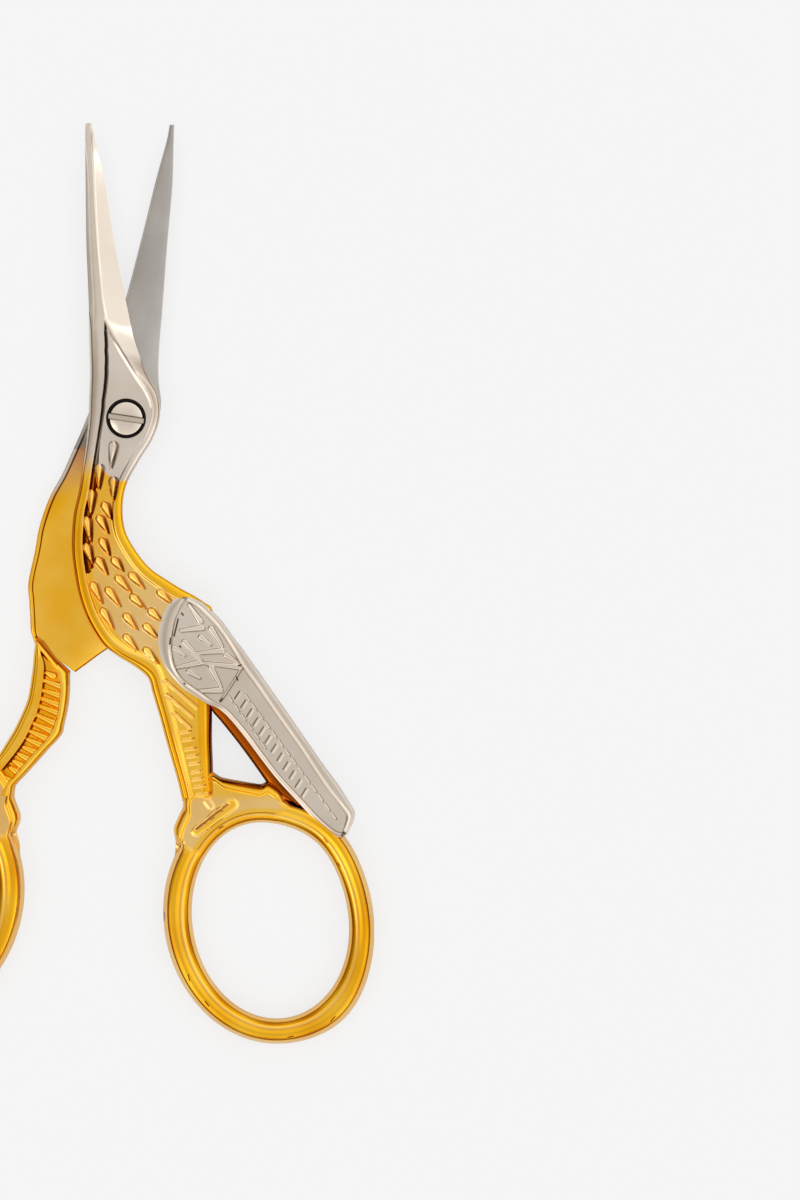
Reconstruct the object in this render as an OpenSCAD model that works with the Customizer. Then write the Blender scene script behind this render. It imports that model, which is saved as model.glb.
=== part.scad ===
// Stork embroidery scissors, lying flat and part open, seen on the outer face of the front half.
// Both halves are steel forgings. From the blade tip to the bird's breast each half is one plate,
// half as thick as the handles, and the two plates lap. Behind the breast the legs, the wing and the
// finger rings are full thickness and lie side by side. A slotted shoulder screw is the pivot.
// The origin is where the pivot's axis meets the table. X is right, Y is to the tips, Z is up.
// Both halves are drawn closed, in the frame of the front half. The back half is then turned open.

/* [Whole] */
// Length from the blade tips to the ends of the rings, closed
length = 115.8; // [95:0.1:140]
// Width of the bird's head across the pivot
head_w = 8.8; // [7.6:0.1:10]
// Thickness of one lapped plate at the pivot
plate_t = 1.75; // [1.5:0.05:2.1]
// Angle between the halves as drawn
open_angle = 16; // [0:1:60]

/* [Finger rings] */
// Width of the ring's band
ring_w = 3.15; // [2.6:0.05:3.5]
// Length of the finger hole
hole_l = 24.6; // [22:0.1:26]
// Width of the finger hole
hole_w = 19.7; // [18:0.1:21]
// Distance from the pivot to the middle of the rings, along the closed scissors
ring_d = 63.4; // [58:0.1:70]
// Gap between the rings when the scissors are closed
stop_gap = 0.15; // [0.1:0.05:0.5]

/* [Pivot screw] */
// Diameter of the domed head
head_d = 4.4; // [4:0.05:4.6]
// Diameter of the shank that the front half turns on
shank_d = 3; // [2.6:0.05:3.2]
// Diameter of the threaded end in the back half
thread_d = 2.4; // [2:0.05:2.4]
// Width of the screwdriver slot
slot_w = 0.75; // [0.5:0.05:0.9]
// Depth of the screwdriver slot
slot_t = 0.4; // [0.3:0.05:0.5]
// Angle of the slot as the screw was left
slot_angle = -8.5; // [-90:0.5:90]
// How far the head's crown stands over the handles' faces
crown = 0.12; // [0.05:0.01:0.2]
// Diameter of the flat boss round the screw's end, on the table side
boss_d = 5.1; // [4.5:0.1:6]

/* [Clearances] */
// Gap between the two lapped plates
lap = 0.05; // [0.03:0.01:0.08]
// Radial running clearance of the shank in the front half
run_gap = 0.05; // [0.02:0.01:0.1]
// Radial clearance of the threaded end, which the thread takes up
thread_gap = 0.02; // [0.01:0.01:0.05]
// Radial gap round the head in its counterbore
head_gap = 0.35; // [0.25:0.05:0.4]
// End play of the screw's head, and how far its end stays inside the boss
end_play = 0.05; // [0.02:0.01:0.1]

/* [Ornament] */
// Width of the drop-shaped feathers on neck and breast
drop_w = 1.1; // [0.8:0.05:1.3]
// How far the feathers and ticks stand above their panel
relief = 0.22; // [0.15:0.01:0.3]
// Width of the ribs and ticks on the legs
rib_w = 0.3; // [0.2:0.05:0.45]
// Width and length of the rungs on the tail
rung_w = 0.24; // [0.15:0.01:0.35]
rung_l = 1.1; // [0.8:0.05:1.3]
// Depth of the legs' sunken panels
panel_drop = 0.42; // [0.25:0.01:0.6]
// Depth of the wing's field inside its rim
wing_drop = 0.25; // [0.15:0.01:0.4]
// Width of the raised rim of the wing
rim_w = 1.6; // [1.2:0.1:2]
// Number of rungs down the middle of the tail
tail_rungs = 11; // [6:1:12]
// Number of ticks on the front leg
leg_ticks = 10; // [5:1:12]
// Number of ribs on the back leg
leg_ribs = 13; // [6:1:14]

/* [Hidden] */
$fn = 48;
thick = 2 * plate_t + lap;
inner_z = plate_t + lap;
substeps = 2;

// The middle line of the closed scissors leans a little to the front half's ring
lean = 4.1;
ring_tilt = 8.6;
ring_steps = 56;
back_ring_lower = 0.8;
ring_a = hole_l / 2 + ring_w;
ring_b = hole_w / 2 + ring_w;
ring_side = norm([ring_a * sin(ring_tilt), ring_b * cos(ring_tilt)]) + stop_gap / 2;
ring_end = norm([ring_a * cos(ring_tilt), ring_b * sin(ring_tilt)]);

// The outlines below are drawn for 37 from the pivot to the tips, 63.4 from the pivot to the middle of
// the rings and 8.8 across the head. Each of their points is moved to suit the sizes above.
blade_k = (length - ring_d - ring_end) / 37;
handle_k = ring_d / 63.4;
across_k = head_w / 8.8;
function place(p) = [p.x * across_k, p.y * (p.y > 0 ? blade_k : handle_k)];

// Stations across the bird from the blade tip down the neck, left edge and right edge
neck = [
  [[-5.05, 36.75], [-4.4, 36.75]],
  [[-5.15, 34.5], [-4.0, 34.5]],
  [[-5.1, 29.6], [-2.8, 29.6]],
  [[-5.0, 22.1], [-1.6, 22.1]],
  [[-4.7, 14.7], [-0.1, 14.7]],
  [[-4.6, 9.7], [1.0, 9.7]],
  [[-4.5, 6.0], [2.4, 6.0]],
  [[-4.6, 2.9], [3.9, 3.0]],
  [[-4.7, 0.1], [4.1, 0.2]],
  [[-5.0, -2.8], [3.2, -2.5]],
  [[-5.4, -5.5], [1.6, -5.1]],
  [[-5.9, -8.9], [0.0, -8.1]],
  [[-6.6, -12.1], [-0.5, -11.1]],
  [[-6.8, -15.8], [-0.1, -14.1]],
  [[-6.5, -18.9], [1.5, -16.9]],
];

// The front half's breast goes on to the shoulder
front_breast = [
  [[-5.9, -22.0], [3.1, -18.7]],
  [[-4.8, -25.0], [5.0, -20.0]],
  [[-3.0, -27.9], [6.6, -21.0]],
  [[-0.9, -29.3], [7.9, -21.5]],
  [[1.4, -30.6], [9.1, -22.1]],
  [[3.1, -31.9], [10.0, -22.8]],
  [[4.4, -33.3], [10.7, -23.5]],
];

// The back half's breast ends at a straight edge, clear of the shoulder
back_breast = [
  [[-6.2, -22.9], [3.1, -18.7]],
  [[-5.5, -25.0], [5.3, -20.3]],
  [[-4.8, -27.0], [7.2, -22.0]],
  [[-4.3, -28.5], [7.2, -25.6]],
  [[-3.8, -29.3], [4.2, -29.8]],
  [[-3.4, -29.9], [2.5, -32.0]],
];

// Shoulder, folded wing and tail
wing_rows = [
  [[3.8, -33.2], [10.2, -22.9]],
  [[5.6, -33.7], [11.3, -24.3]],
  [[7.3, -34.4], [12.5, -26.2]],
  [[9.1, -35.3], [13.8, -27.8]],
  [[10.7, -36.4], [15.3, -29.9]],
  [[12.3, -38.3], [17.0, -32.5]],
  [[13.6, -39.9], [18.6, -34.7]],
  [[15.6, -42.6], [20.7, -37.6]],
  [[17.2, -45.0], [22.8, -40.7]],
  [[19.5, -47.6], [25.0, -43.9]],
  [[21.8, -49.8], [26.9, -46.6]],
  [[23.9, -51.4], [28.3, -48.7]],
  [[25.5, -52.3], [28.1, -50.0]],
];

front_leg_rows = [
  [[3.1, -32.3], [9.4, -33.9]],
  [[3.8, -34.6], [10.1, -35.7]],
  [[4.6, -36.9], [10.4, -37.6]],
  [[5.5, -39.5], [10.5, -39.9]],
  [[6.4, -42.2], [10.6, -42.3]],
  [[7.0, -45.0], [10.8, -44.8]],
  [[7.1, -47.6], [11.3, -47.3]],
  [[6.7, -49.3], [11.8, -49.2]],
];

back_leg_rows = [
  [[-3.8, -29.1], [2.4, -31.8]],
  [[-3.3, -30.3], [2.1, -32.6]],
  [[-2.6, -33.7], [2.4, -34.0]],
  [[-2.2, -36.8], [2.9, -36.9]],
  [[-2.4, -39.2], [3.1, -39.2]],
  [[-3.0, -41.6], [2.5, -41.4]],
  [[-3.6, -44.0], [1.0, -44.0]],
  [[-4.6, -46.3], [-0.2, -46.6]],
  [[-5.8, -48.0], [-0.7, -48.2]],
  [[-7.6, -49.3], [-0.2, -49.5]],
];

// Webs that join leg, tail and ring, with the knob above the ring
front_web = [
  [7.1, -46.9], [7.1, -48.0], [6.7, -48.8], [6.0, -50.3], [5.8, -51.1], [6.1, -52.5],
  [6.0, -53.8], [6.7, -55.2], [11.6, -50.8], [17.2, -49.2], [22.9, -50.2], [25.4, -52.2],
  [21.5, -47.8], [17.6, -45.4], [17.0, -46.1], [14.0, -45.6], [10.9, -45.2], [9.7, -44.8],
];
back_web = [
  [-0.7, -47.8], [-0.7, -48.5], [-0.2, -49.4], [0.9, -50.9], [1.1, -52.0], [0.9, -53.0],
  [1.6, -54.0], [2.0, -55.7], [0.0, -56.2], [-3.8, -53.0], [-8.3, -51.9], [-12.0, -52.4],
  [-11.3, -51.0], [-8.1, -49.5], [-5.3, -47.7], [-4.0, -45.4],
];

// Edge of the wing's shoulder
shoulder = [
  [6.2, -22.2], [5.1, -23.4], [4.2, -25.6], [4.0, -27.5], [4.3, -29.3], [5.7, -31.9],
  [7.1, -33.4], [8.7, -34.5], [10.3, -35.2], [11.7, -34.9], [12.8, -33.4], [14.4, -30.8],
  [13.2, -28.7], [11.7, -26.6], [10.2, -24.4], [9.0, -23.2], [7.8, -22.5],
];

// Feathers on neck and breast, head and tip of each drop
neck_drops = [
  [[-1.6, -3.4], [-2.0, -6.2]], [[-3.3, -6.1], [-3.5, -8.9]], [[-1.6, -7.8], [-1.7, -10.2]],
  [[-4.3, -9.4], [-4.4, -12.0]], [[-2.6, -10.8], [-1.9, -12.6]], [[-4.8, -12.7], [-4.4, -15.3]],
  [[-3.2, -12.5], [-2.3, -14.3]], [[-4.8, -16.0], [-4.2, -18.0]], [[-2.9, -15.3], [-2.1, -17.1]],
  [[-3.3, -17.7], [-2.4, -19.4]], [[-1.4, -17.7], [-0.4, -19.0]], [[-4.0, -20.7], [-3.0, -23.0]],
  [[-2.1, -21.3], [-0.7, -23.4]], [[-0.8, -19.9], [0.6, -21.6]], [[0.8, -19.5], [2.2, -21.1]],
];
breast_drops = [
  [[1.0, -22.3], [2.4, -23.6]], [[4.3, -21.6], [5.7, -23.0]], [[-2.8, -24.0], [-1.6, -26.1]],
  [[0.1, -24.6], [1.3, -26.2]], [[3.3, -24.0], [4.5, -25.2]], [[2.6, -25.9], [4.0, -27.3]],
  [[0.1, -27.3], [1.4, -28.7]], [[2.6, -28.9], [4.0, -30.4]],
];
// Feathers on the shoulder, round end and point of each
shoulder_drops = [
  [[7.8, -23.3], [9.7, -25.5]], [[9.7, -25.9], [6.6, -26.3]], [[9.1, -27.3], [10.4, -28.0]],
  [[10.4, -25.8], [12.0, -28.0]], [[6.9, -27.3], [9.3, -29.9]], [[12.1, -28.8], [9.2, -28.9]],
  [[6.0, -28.4], [7.1, -29.4]], [[9.4, -30.4], [6.2, -30.9]], [[12.2, -29.5], [13.1, -30.3]],
  [[7.6, -31.6], [9.1, -32.3]], [[9.9, -30.8], [11.6, -33.2]],
];

// Toes of the bird, a raised bar on the ring
toes = [
  [8.6, -52.0], [8.1, -51.1], [8.5, -50.5], [12.9, -47.2], [13.6, -47.4], [13.8, -48.2],
  [12.9, -48.7], [10.7, -49.8], [9.4, -50.9],
];

// First and last rung of the tail's three rows
tail_middle = [[13.8, -34.3], [21.4, -45.2]];
tail_right = [[14.9, -33.1], [21.9, -43.2]];
tail_left = [[12.0, -35.1], [17.5, -42.9]];
// First and last of the three ribs that slope down across the top of the front leg
slant_ribs = [[6.7, -34.2], [6.9, -37.2]];

// Smooth curve through the entries of a list, s counting along it from 0
function entry(list, i) = list[max(0, min(len(list) - 1, i))];
function along(list, s) =
  let (i = min(floor(s), len(list) - 2), u = s - i,
    a = entry(list, i - 1), b = entry(list, i), c = entry(list, i + 1), d = entry(list, i + 2))
  b + u * (c - a) / 2 + u * u * (a - 2.5 * b + 2 * c - d / 2) + u * u * u * (1.5 * (b - c) + (d - a) / 2);
function steps(list) = [for (i = [0 : substeps * (len(list) - 1)]) i / substeps];

// Closed smooth outline through a ring of points
function outline(points) =
  let (n = len(points), lap3 = [for (i = [-1 : n + 1]) points[(i + n) % n]])
  [for (i = [0 : n * substeps - 1]) place(along(lap3, 1 + i / substeps))];

// Left and right edge of a row of stations, and the unit vector across it
function edges(rows, s) = [for (p = along(rows, s)) place(p)];
function unit(v) = v / norm(v);

// Solid through a row of sections that all have the same number of points
module skin(sections, loop = false) {
  n = len(sections[0]);
  m = len(sections);
  sides = [for (j = [0 : loop ? m - 1 : m - 2], i = [0 : n - 1])
    let (a = j * n, b = (j + 1) % m * n, i2 = (i + 1) % n)
    each [[a + i, a + i2, b + i2], [a + i, b + i2, b + i]]];
  ends = loop ? [] : [[for (i = [n - 1 : -1 : 0]) i], [for (i = [0 : n - 1]) (m - 1) * n + i]];
  polyhedron([for (s = sections) each s], concat(sides, ends));
}

// Share of the plate's width that the right-hand bevel takes: the cutting bevel on the blade, which
// narrows past the plunge line at the head into the thin bead down the neck
bevel_share = [[0, 0.5], [2, 0.58], [3, 0.63], [4, 0.59], [5, 0.4], [6, 0.18], [7, 0.08], [20, 0.06]];
// Share of the rest that the left-hand rim takes
rim_share = [[0, 0.6], [4, 0.6], [4.5, 0.68], [5, 0.64], [6, 0.36], [7, 0.24], [8, 0.2], [9, 0.2],
  [12, 0.24], [13, 0.21], [15, 0.13], [20, 0.1]];
// Heights over the flat inner face as shares of the plate's thickness
rim_height = [[0, 0.32], [1, 0.45], [2, 0.62], [3, 0.78], [4, 0.88], [5, 0.96], [6, 1]];
groove_height = [[0, 0.34], [1, 0.5], [2, 0.68], [3, 0.85], [4, 0.92], [4.5, 0.75], [5, 0.62],
  [10, 0.62], [12, 0.78], [14, 0.82]];
panel_height = [[0, 0.38], [1, 0.54], [2, 0.74], [3, 0.9], [4, 0.97], [5, 0.98], [8, 0.94],
  [10, 0.9], [12, 0.84], [14, 0.82]];
ridge_height = [[0, 0.4], [1, 0.58], [2, 0.78], [3, 0.93], [4, 0.99], [5, 1], [8, 0.97]];
edge_height = [[0, 0.08], [6, 0.08], [7, 0.35], [8, 0.7], [10, 0.75]];

// Section of a plate, from the foot of its left edge over the top to the foot of its right edge
function plate_section(rows, s) =
  let (ends = edges(rows, s), wide = norm(ends[1] - ends[0]), across = unit(ends[1] - ends[0]),
    band = wide * (1 - lookup(s, bevel_share)), rim = band * lookup(s, rim_share),
    groove = min(0.2, 0.1 * band), bead = min(0.25, 0.1 * band),
    h_rim = plate_t * lookup(s, rim_height), h_panel = plate_t * lookup(s, panel_height))
  [for (q = [
    [0, 0],
    [0, 0.6 * h_rim],
    [0.25 * rim, 0.93 * h_rim],
    [0.6 * rim, h_rim],
    [rim, 0.97 * h_rim],
    [rim + groove, plate_t * lookup(s, groove_height)],
    [rim + 2 * groove, h_panel],
    [band - bead, h_panel],
    [band, plate_t * lookup(s, ridge_height)],
    [wide, plate_t * lookup(s, edge_height)],
    [wide, 0],
  ]) let (p = ends[0] + across * q[0]) [p.x, p.y, q[1]]];

// Section of the back half's plate. Its blade is the front one's turned left for right, as the cutting
// edges face each other, and from the head to the neck it turns into the front half's section.
blade_share = [[4.5, 1], [5.5, 0.6], [7, 0]];
function back_section(rows, s) =
  let (plain = plate_section(rows, s), n = len(plain), ends = edges(rows, s), w = lookup(s, blade_share))
  [for (i = [0 : n - 1])
    let (p = plain[n - 1 - i], turned = concat(ends[0] + ends[1] - [p.x, p.y], p.z))
      w * turned + (1 - w) * plain[i]];

// Plate of blade, neck and breast, its inner face at z = 0 and its ornament up
module bird_plate(rows, back = false) {
  skin([for (s = steps(rows)) back ? back_section(rows, s) : plate_section(rows, s)]);
}

// The plate with its feathers. The panel that they stand on sinks from the head to the breast.
drop_rise = 1.2 * relief;
panel_by_y = [[-18, 0.82], [-12, 0.84], [-5.5, 0.9], [-2.8, 0.92]];
module feathered_plate(rows, feathers, back = false) {
  bird_plate(rows, back);
  for (d = feathers)
    drop(d, min(plate_t * lookup(d[0].y, panel_by_y), plate_t - drop_rise), drop_w);
}

// Full-thickness strip with the same relief on both faces. Each point of the relief is the share of
// the width, an offset from there, and how far it lies below the face.
module strip(rows, relief_points) {
  skin([for (s = steps(rows))
    let (ends = edges(rows, s), across = unit(ends[1] - ends[0]),
      top = [for (q = relief_points)
        concat(ends[0] + (ends[1] - ends[0]) * q[0] + across * q[1], thick - q[2])])
    concat(top, [for (i = [len(top) - 1 : -1 : 0]) [top[i].x, top[i].y, thick - top[i].z]])]);
}

// Relief of the wing, rim by rim, and of a leg, whose left rim is a little wider than its right one
edge_drop = 1.1;
wing_relief = [[0, 0, edge_drop], [0, 0.2 * rim_w, edge_drop / 2], [0, 0.55 * rim_w, wing_drop],
  [0, 0.8 * rim_w, wing_drop / 2], [0, rim_w, wing_drop], [1, -0.75 * rim_w, wing_drop],
  [1, -0.6 * rim_w, wing_drop / 5], [1, -0.4 * rim_w, 0.6 * wing_drop], [1, 0, 0.8 * edge_drop]];
leg_rim = 1.05;
leg_relief = [[0, 0, edge_drop], [0, 0.3 * leg_rim, panel_drop], [0, 0.7 * leg_rim, 0.12],
  [0, leg_rim, panel_drop], [1, -0.8 * leg_rim, panel_drop], [1, -0.57 * leg_rim, 0.15],
  [1, -0.24 * leg_rim, panel_drop], [1, 0, edge_drop]];

// Section of a ring's upper half, outside to inside, as shares of half its width and thickness.
// The crest lies nearer the hole, with a flatter slope inside it where the finger bears.
ring_relief = [[0.94, 0.4], [0.72, 0.76], [0.3, 0.96], [-0.15, 1], [-0.6, 0.66], [-0.95, 0.3]];

module ring(side, lower = 0) {
  tilt = side * ring_tilt;
  half = [ring_w, thick] / 2;
  n = len(ring_relief);
  section = concat([[1, 0]], ring_relief,
    [for (i = [n - 1 : -1 : 0]) [ring_relief[i].x, -ring_relief[i].y]]);
  rotate(lean)
    translate([side * ring_side, -ring_d - lower, thick / 2])
      rotate(tilt)
        skin([for (i = [0 : ring_steps - 1])
          let (t = -i * 360 / ring_steps, a = ring_a - half.x, b = ring_b - half.x,
            middle = [b * sin(t), a * cos(t)], out = unit([a * sin(t), b * cos(t)]))
          [for (q = section) concat(middle + out * q.x * half.x, q.y * half.y)]], loop = true);
}

// Raised drop, half sunk in the face below it, round at the head and pointed at the tip
module drop(ends, z, wide) {
  head = place(ends[0]);
  way = place(ends[1]) - head;
  long = norm(way) + wide / 2;
  r = wide / 2;
  translate([head.x, head.y, z])
    scale([1, 1, drop_rise / r])
      rotate([0, 0, atan2(way.y, way.x)])
        rotate([0, 90, 0])
          translate([0, 0, -r])
            rotate_extrude($fn = 8)
              polygon([[0, 0], [r, 0.8 * r], [0.7 * r, 0.6 * long], [0, long]]);
}

// Raised bar lying on a face at height z
module bar(middle, long, wide, angle, z) {
  translate([middle.x, middle.y, z])
    rotate(angle)
      cube([long, wide, 2 * relief], center = true);
}

// Row of equal bars, their middles between the first and the last one's
module bars(row, count, long, wide, angle, z) {
  for (i = [0 : count - 1])
    bar(place(row[0] + (row[1] - row[0]) * i / (count - 1)), long, wide, angle, z);
}

// Ribs across a leg's sunken panel, keeping a margin from the leg's left and right edges
module ribs(rows, count, first, last, left_margin, right_margin) {
  for (i = [0 : count - 1])
    let (ends = edges(rows, first + (last - first) * i / (count - 1)), way = ends[1] - ends[0],
      long = norm(way) - left_margin - right_margin,
      middle = ends[0] + unit(way) * (left_margin + long / 2))
      bar(middle, long, rib_w, atan2(way.y, way.x), thick - panel_drop);
}

// Turns an ornament for the top face into one for the underside
module underside() {
  translate([0, 0, thick])
    mirror([0, 0, 1])
      children();
}
module both_faces() {
  children();
  underside()
    children();
}

// The folded wing's ornament on one face: a rim round the shoulder, its feathers and the tail's rungs
module wing_ornament() {
  top = thick - wing_drop;
  translate([0, 0, top - 0.5])
    linear_extrude(0.5 + 0.8 * wing_drop)
      difference() {
        polygon(outline(shoulder));
        offset(delta = -0.45)
          polygon(outline(shoulder));
      }
  for (d = shoulder_drops)
    drop(d, thick - drop_rise - 0.02, 0.8 * drop_w);
  bars(tail_middle, tail_rungs, rung_l, rung_w, 50, top);
  bars(tail_right, tail_rungs - 2, 0.75 * rung_l, rung_w, 50, top);
  bars(tail_left, tail_rungs - 3, 0.75 * rung_l, rung_w, 50, top);
}

// Flat outline of the wing, which the underside's ornament keeps to
module wing_outline() {
  n = len(wing_rows);
  polygon([each [for (r = wing_rows) place(r[0])], each [for (i = [n - 1 : -1 : 0]) place(wing_rows[i][1])]]);
}

module leg_ornament() {
  ribs(front_leg_rows, leg_ticks, 2.9, 6.4, 1.25, 1.9);
  bars(slant_ribs, 3, 3, rib_w, -40.5, thick - panel_drop);
  translate([0, 0, thick - 1])
    linear_extrude(0.8)
      polygon(outline(toes));
}

module web(points, below) {
  translate([0, 0, below])
    linear_extrude(thick - 2 * below)
      polygon(outline(points));
}

// Joins overlapping forms into one skin. A size of 0 leaves that axis as it is drawn.
module one_skin() {
  resize([0, 0, 0])
    union()
      children();
}

module front_half() {
  color("goldenrod")
    difference() {
      one_skin() {
        translate([0, 0, inner_z])
          feathered_plate(concat(neck, front_breast), concat(neck_drops, breast_drops));
        strip(wing_rows, wing_relief);
        strip(front_leg_rows, leg_relief);
        web(front_web, panel_drop);
        ring(1);
        wing_ornament();
        underside()
          intersection() {
            wing_ornament();
            linear_extrude(thick)
              wing_outline();
          }
        both_faces()
          leg_ornament();
      }
      pivot_hole();
    }
}

// Bore and counterbore for the screw in the front half
module pivot_hole() {
  translate([0, 0, plate_t - 1])
    cylinder(h = thick, r = shank_d / 2 + run_gap);
  translate([0, 0, inner_z + plate_t / 2])
    cylinder(h = thick, r = head_d / 2 + head_gap);
}

module back_half() {
  color("gold")
    rotate(-open_angle)
      difference() {
        union() {
          one_skin() {
            translate([0, 0, plate_t])
              mirror([0, 0, 1])
                feathered_plate(concat(neck, back_breast), neck_drops, back = true);
            strip(back_leg_rows, leg_relief);
            web(back_web, panel_drop);
            ring(-1, back_ring_lower);
            both_faces()
              ribs(back_leg_rows, leg_ribs, 1.2, 7.6, 1.2, 1);
          }
          cylinder(h = plate_t / 2, r = boss_d / 2);
        }
        translate([0, 0, -1])
          cylinder(h = thick, r = thread_d / 2 + thread_gap);
      }
}

// Shoulder screw, its domed head in the front half's counterbore
module pivot_screw() {
  seat = inner_z + plate_t / 2 + end_play;
  top = thick + crown;
  color("silver")
    rotate(slot_angle)
      difference() {
        union() {
          translate([0, 0, end_play])
            cylinder(h = plate_t, r = thread_d / 2);
          translate([0, 0, plate_t])
            cylinder(h = lap + plate_t / 2 + 2 * end_play, r = shank_d / 2);
          rotate_extrude()
            polygon([[0, seat], [head_d / 2, seat], [head_d / 2, top - 0.3], [0.43 * head_d, top - 0.14],
              [0.28 * head_d, top - 0.04], [0, top]]);
        }
        translate([-head_d, -slot_w / 2, top - slot_t])
          cube([2 * head_d, slot_w, 1]);
      }
}

front_half();
back_half();
pivot_screw();
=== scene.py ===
import bpy
import numpy as np
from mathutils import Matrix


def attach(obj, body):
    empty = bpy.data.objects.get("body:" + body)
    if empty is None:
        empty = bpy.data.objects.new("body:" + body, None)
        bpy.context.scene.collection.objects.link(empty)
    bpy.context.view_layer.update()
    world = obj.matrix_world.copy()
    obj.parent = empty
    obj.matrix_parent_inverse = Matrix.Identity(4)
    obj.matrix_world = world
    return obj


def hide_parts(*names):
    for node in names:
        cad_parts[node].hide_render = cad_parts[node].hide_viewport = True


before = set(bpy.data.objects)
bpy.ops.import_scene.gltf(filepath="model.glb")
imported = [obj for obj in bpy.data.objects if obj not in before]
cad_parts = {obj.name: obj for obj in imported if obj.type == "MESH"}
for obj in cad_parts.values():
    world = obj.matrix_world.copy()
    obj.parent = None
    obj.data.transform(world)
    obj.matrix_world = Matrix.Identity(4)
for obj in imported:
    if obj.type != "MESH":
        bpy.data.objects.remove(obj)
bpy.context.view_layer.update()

# Table, light tent and camera

# A plain white table under soft studio light, with the camera looking straight down on the scissors as
# they lie. Lengths are in millimetres until a mesh is made.
MM = 0.001
scene = bpy.context.scene
scene.view_settings.view_transform = "Standard"

view_middle = (33.95, -22.5)
view_height = 148.8
view_base = 3.0
lens, film = 150.0, 36.0
camera_data = bpy.data.cameras.new("overhead_camera")
camera_data.lens, camera_data.sensor_width = lens, film
camera = bpy.data.objects.new("overhead_camera", camera_data)
camera.location = (view_middle[0] * MM, view_middle[1] * MM, (lens / film * view_height + view_base) * MM)
scene.collection.objects.link(camera)
scene.camera = camera


def node_tree(material):
    """Empties a material's nodes and returns two makers. The first adds a node and sets its properties
    and its sockets, which go by number or by name. The second links two nodes."""
    tree = material.node_tree
    tree.nodes.clear()

    def add(kind, settings=None, **sockets):
        node = tree.nodes.new(kind)
        for key, value in (settings or {}).items():
            if isinstance(key, int):
                node.inputs[key].default_value = value
            else:
                setattr(node, key, value)
        for key, value in sockets.items():
            node.inputs[key.replace("_", " ")].default_value = value
        return node

    def link(source, out, target, into):
        tree.links.new(source.outputs[out], target.inputs[into])

    return add, link


def fill_ramp(node, stops):
    """Gives a colour ramp its stops, each a place from 0 to 1 and a colour of three values."""
    elements = node.color_ramp.elements
    for k in (0, -1):
        spot, colour = stops[k]
        elements[k].position, elements[k].color = spot, (*colour, 1)
    for spot, colour in stops[1:-1]:
        elements.new(spot).color = (*colour, 1)


paper_white = (0.94, 0.94, 0.94, 1.0)
paper_share = 0.8
table_material = bpy.data.materials.new("white_table")
table_material.use_nodes = True
add, link = node_tree(table_material)
matt = add("ShaderNodeBsdfDiffuse", Color=(0.9, 0.9, 0.9, 1.0))
lit = add("ShaderNodeEmission", Color=paper_white)
path = add("ShaderNodeLightPath")
share = add("ShaderNodeMath", {"operation": "MULTIPLY", 1: paper_share})
blend = add("ShaderNodeMixShader")
surface = add("ShaderNodeOutputMaterial")
link(path, "Is Camera Ray", share, 0)
link(share, 0, blend, 0)
link(matt, 0, blend, 1)
link(lit, 0, blend, 2)
link(blend, 0, surface, "Surface")

half_table = 1.5
table_mesh = bpy.data.meshes.new("table")
corners = [(x * half_table, y * half_table, 0) for x, y in ((-1, -1), (1, -1), (1, 1), (-1, 1))]
table_mesh.from_pydata(corners, [], [(0, 1, 2, 3)])
table = bpy.data.objects.new("table", table_mesh)
table_mesh.materials.append(table_material)
scene.collection.objects.link(table)


def warm_light(level):
    """Colour of the tent's light, which warms as it dims: with w the level's power of 0.3, green is the
    level times 0.2 + 0.8 w, and blue is the level times 0.05 + 0.95 w."""
    warm = min(level, 1.0) ** 0.3
    return level, level * (0.2 + 0.8 * warm), level * (0.05 + 0.95 * warm)


# Light across the tent from left to right, and up it from below, with a bright line over its middle
across_levels = (
    (0.0, 0.5), (0.1, 0.58), (0.22, 0.72), (0.36, 0.88), (0.5, 0.93), (0.6, 0.9), (0.7, 0.98), (0.8, 1.06),
    (0.9, 1.08), (0.97, 0.8), (1.0, 0.6),
)
up_levels = (
    (0.12, 0.36), (0.28, 0.55), (0.42, 0.95), (0.55, 1.12), (0.61, 1.15), (0.645, 2.2), (0.68, 1.15),
    (0.83, 1.14), (0.92, 1.0), (0.97, 0.92),
)
tent_foot, tent_top = (0.25, 0.14, 0.07), (0.86, 0.86, 0.86)
glow_from = (-0.67, -0.39, 0.63)
world = bpy.data.worlds.new("light_tent")
world.use_nodes = True
scene.world = world
add, link = node_tree(world)
direction = add("ShaderNodeTexCoord")
split = add("ShaderNodeSeparateXYZ")
side = add("ShaderNodeMath", {"operation": "MULTIPLY_ADD", 1: 0.5, 2: 0.5})
across = add("ShaderNodeValToRGB")
fill_ramp(across, [(spot, (level,) * 3) for spot, level in across_levels])
up = add("ShaderNodeValToRGB")
up_stops = [(spot, warm_light(level)) for spot, level in up_levels]
fill_ramp(up, [(0.0, tent_foot)] + up_stops + [(1.0, tent_top)])
both = add("ShaderNodeMix", {"data_type": "RGBA", "blend_type": "MULTIPLY"}, Factor=1.0)
tent = add("ShaderNodeBackground", Strength=0.95)
plain = add("ShaderNodeBackground", Color=paper_white)
path = add("ShaderNodeLightPath")
pick = add("ShaderNodeMixShader")
out = add("ShaderNodeOutputWorld")
toward = add("ShaderNodeVectorMath", {"operation": "DOT_PRODUCT", 1: glow_from})
glow = add(
    "ShaderNodeMapRange", {"interpolation_type": "SMOOTHSTEP"}, From_Min=0.89, From_Max=0.98, To_Max=0.85
)
lift = add("ShaderNodeMix", {"data_type": "RGBA", "blend_type": "ADD"}, Factor=1.0)
link(direction, "Generated", split, 0)
link(split, "X", side, 0)
link(side, 0, across, 0)
link(split, "Z", up, 0)
link(across, 0, both, 6)
link(up, 0, both, 7)
link(direction, "Generated", toward, 0)
link(toward, "Value", glow, "Value")
link(both, 2, lift, 6)
link(glow, 0, lift, 7)
link(lift, 2, tent, "Color")
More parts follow.
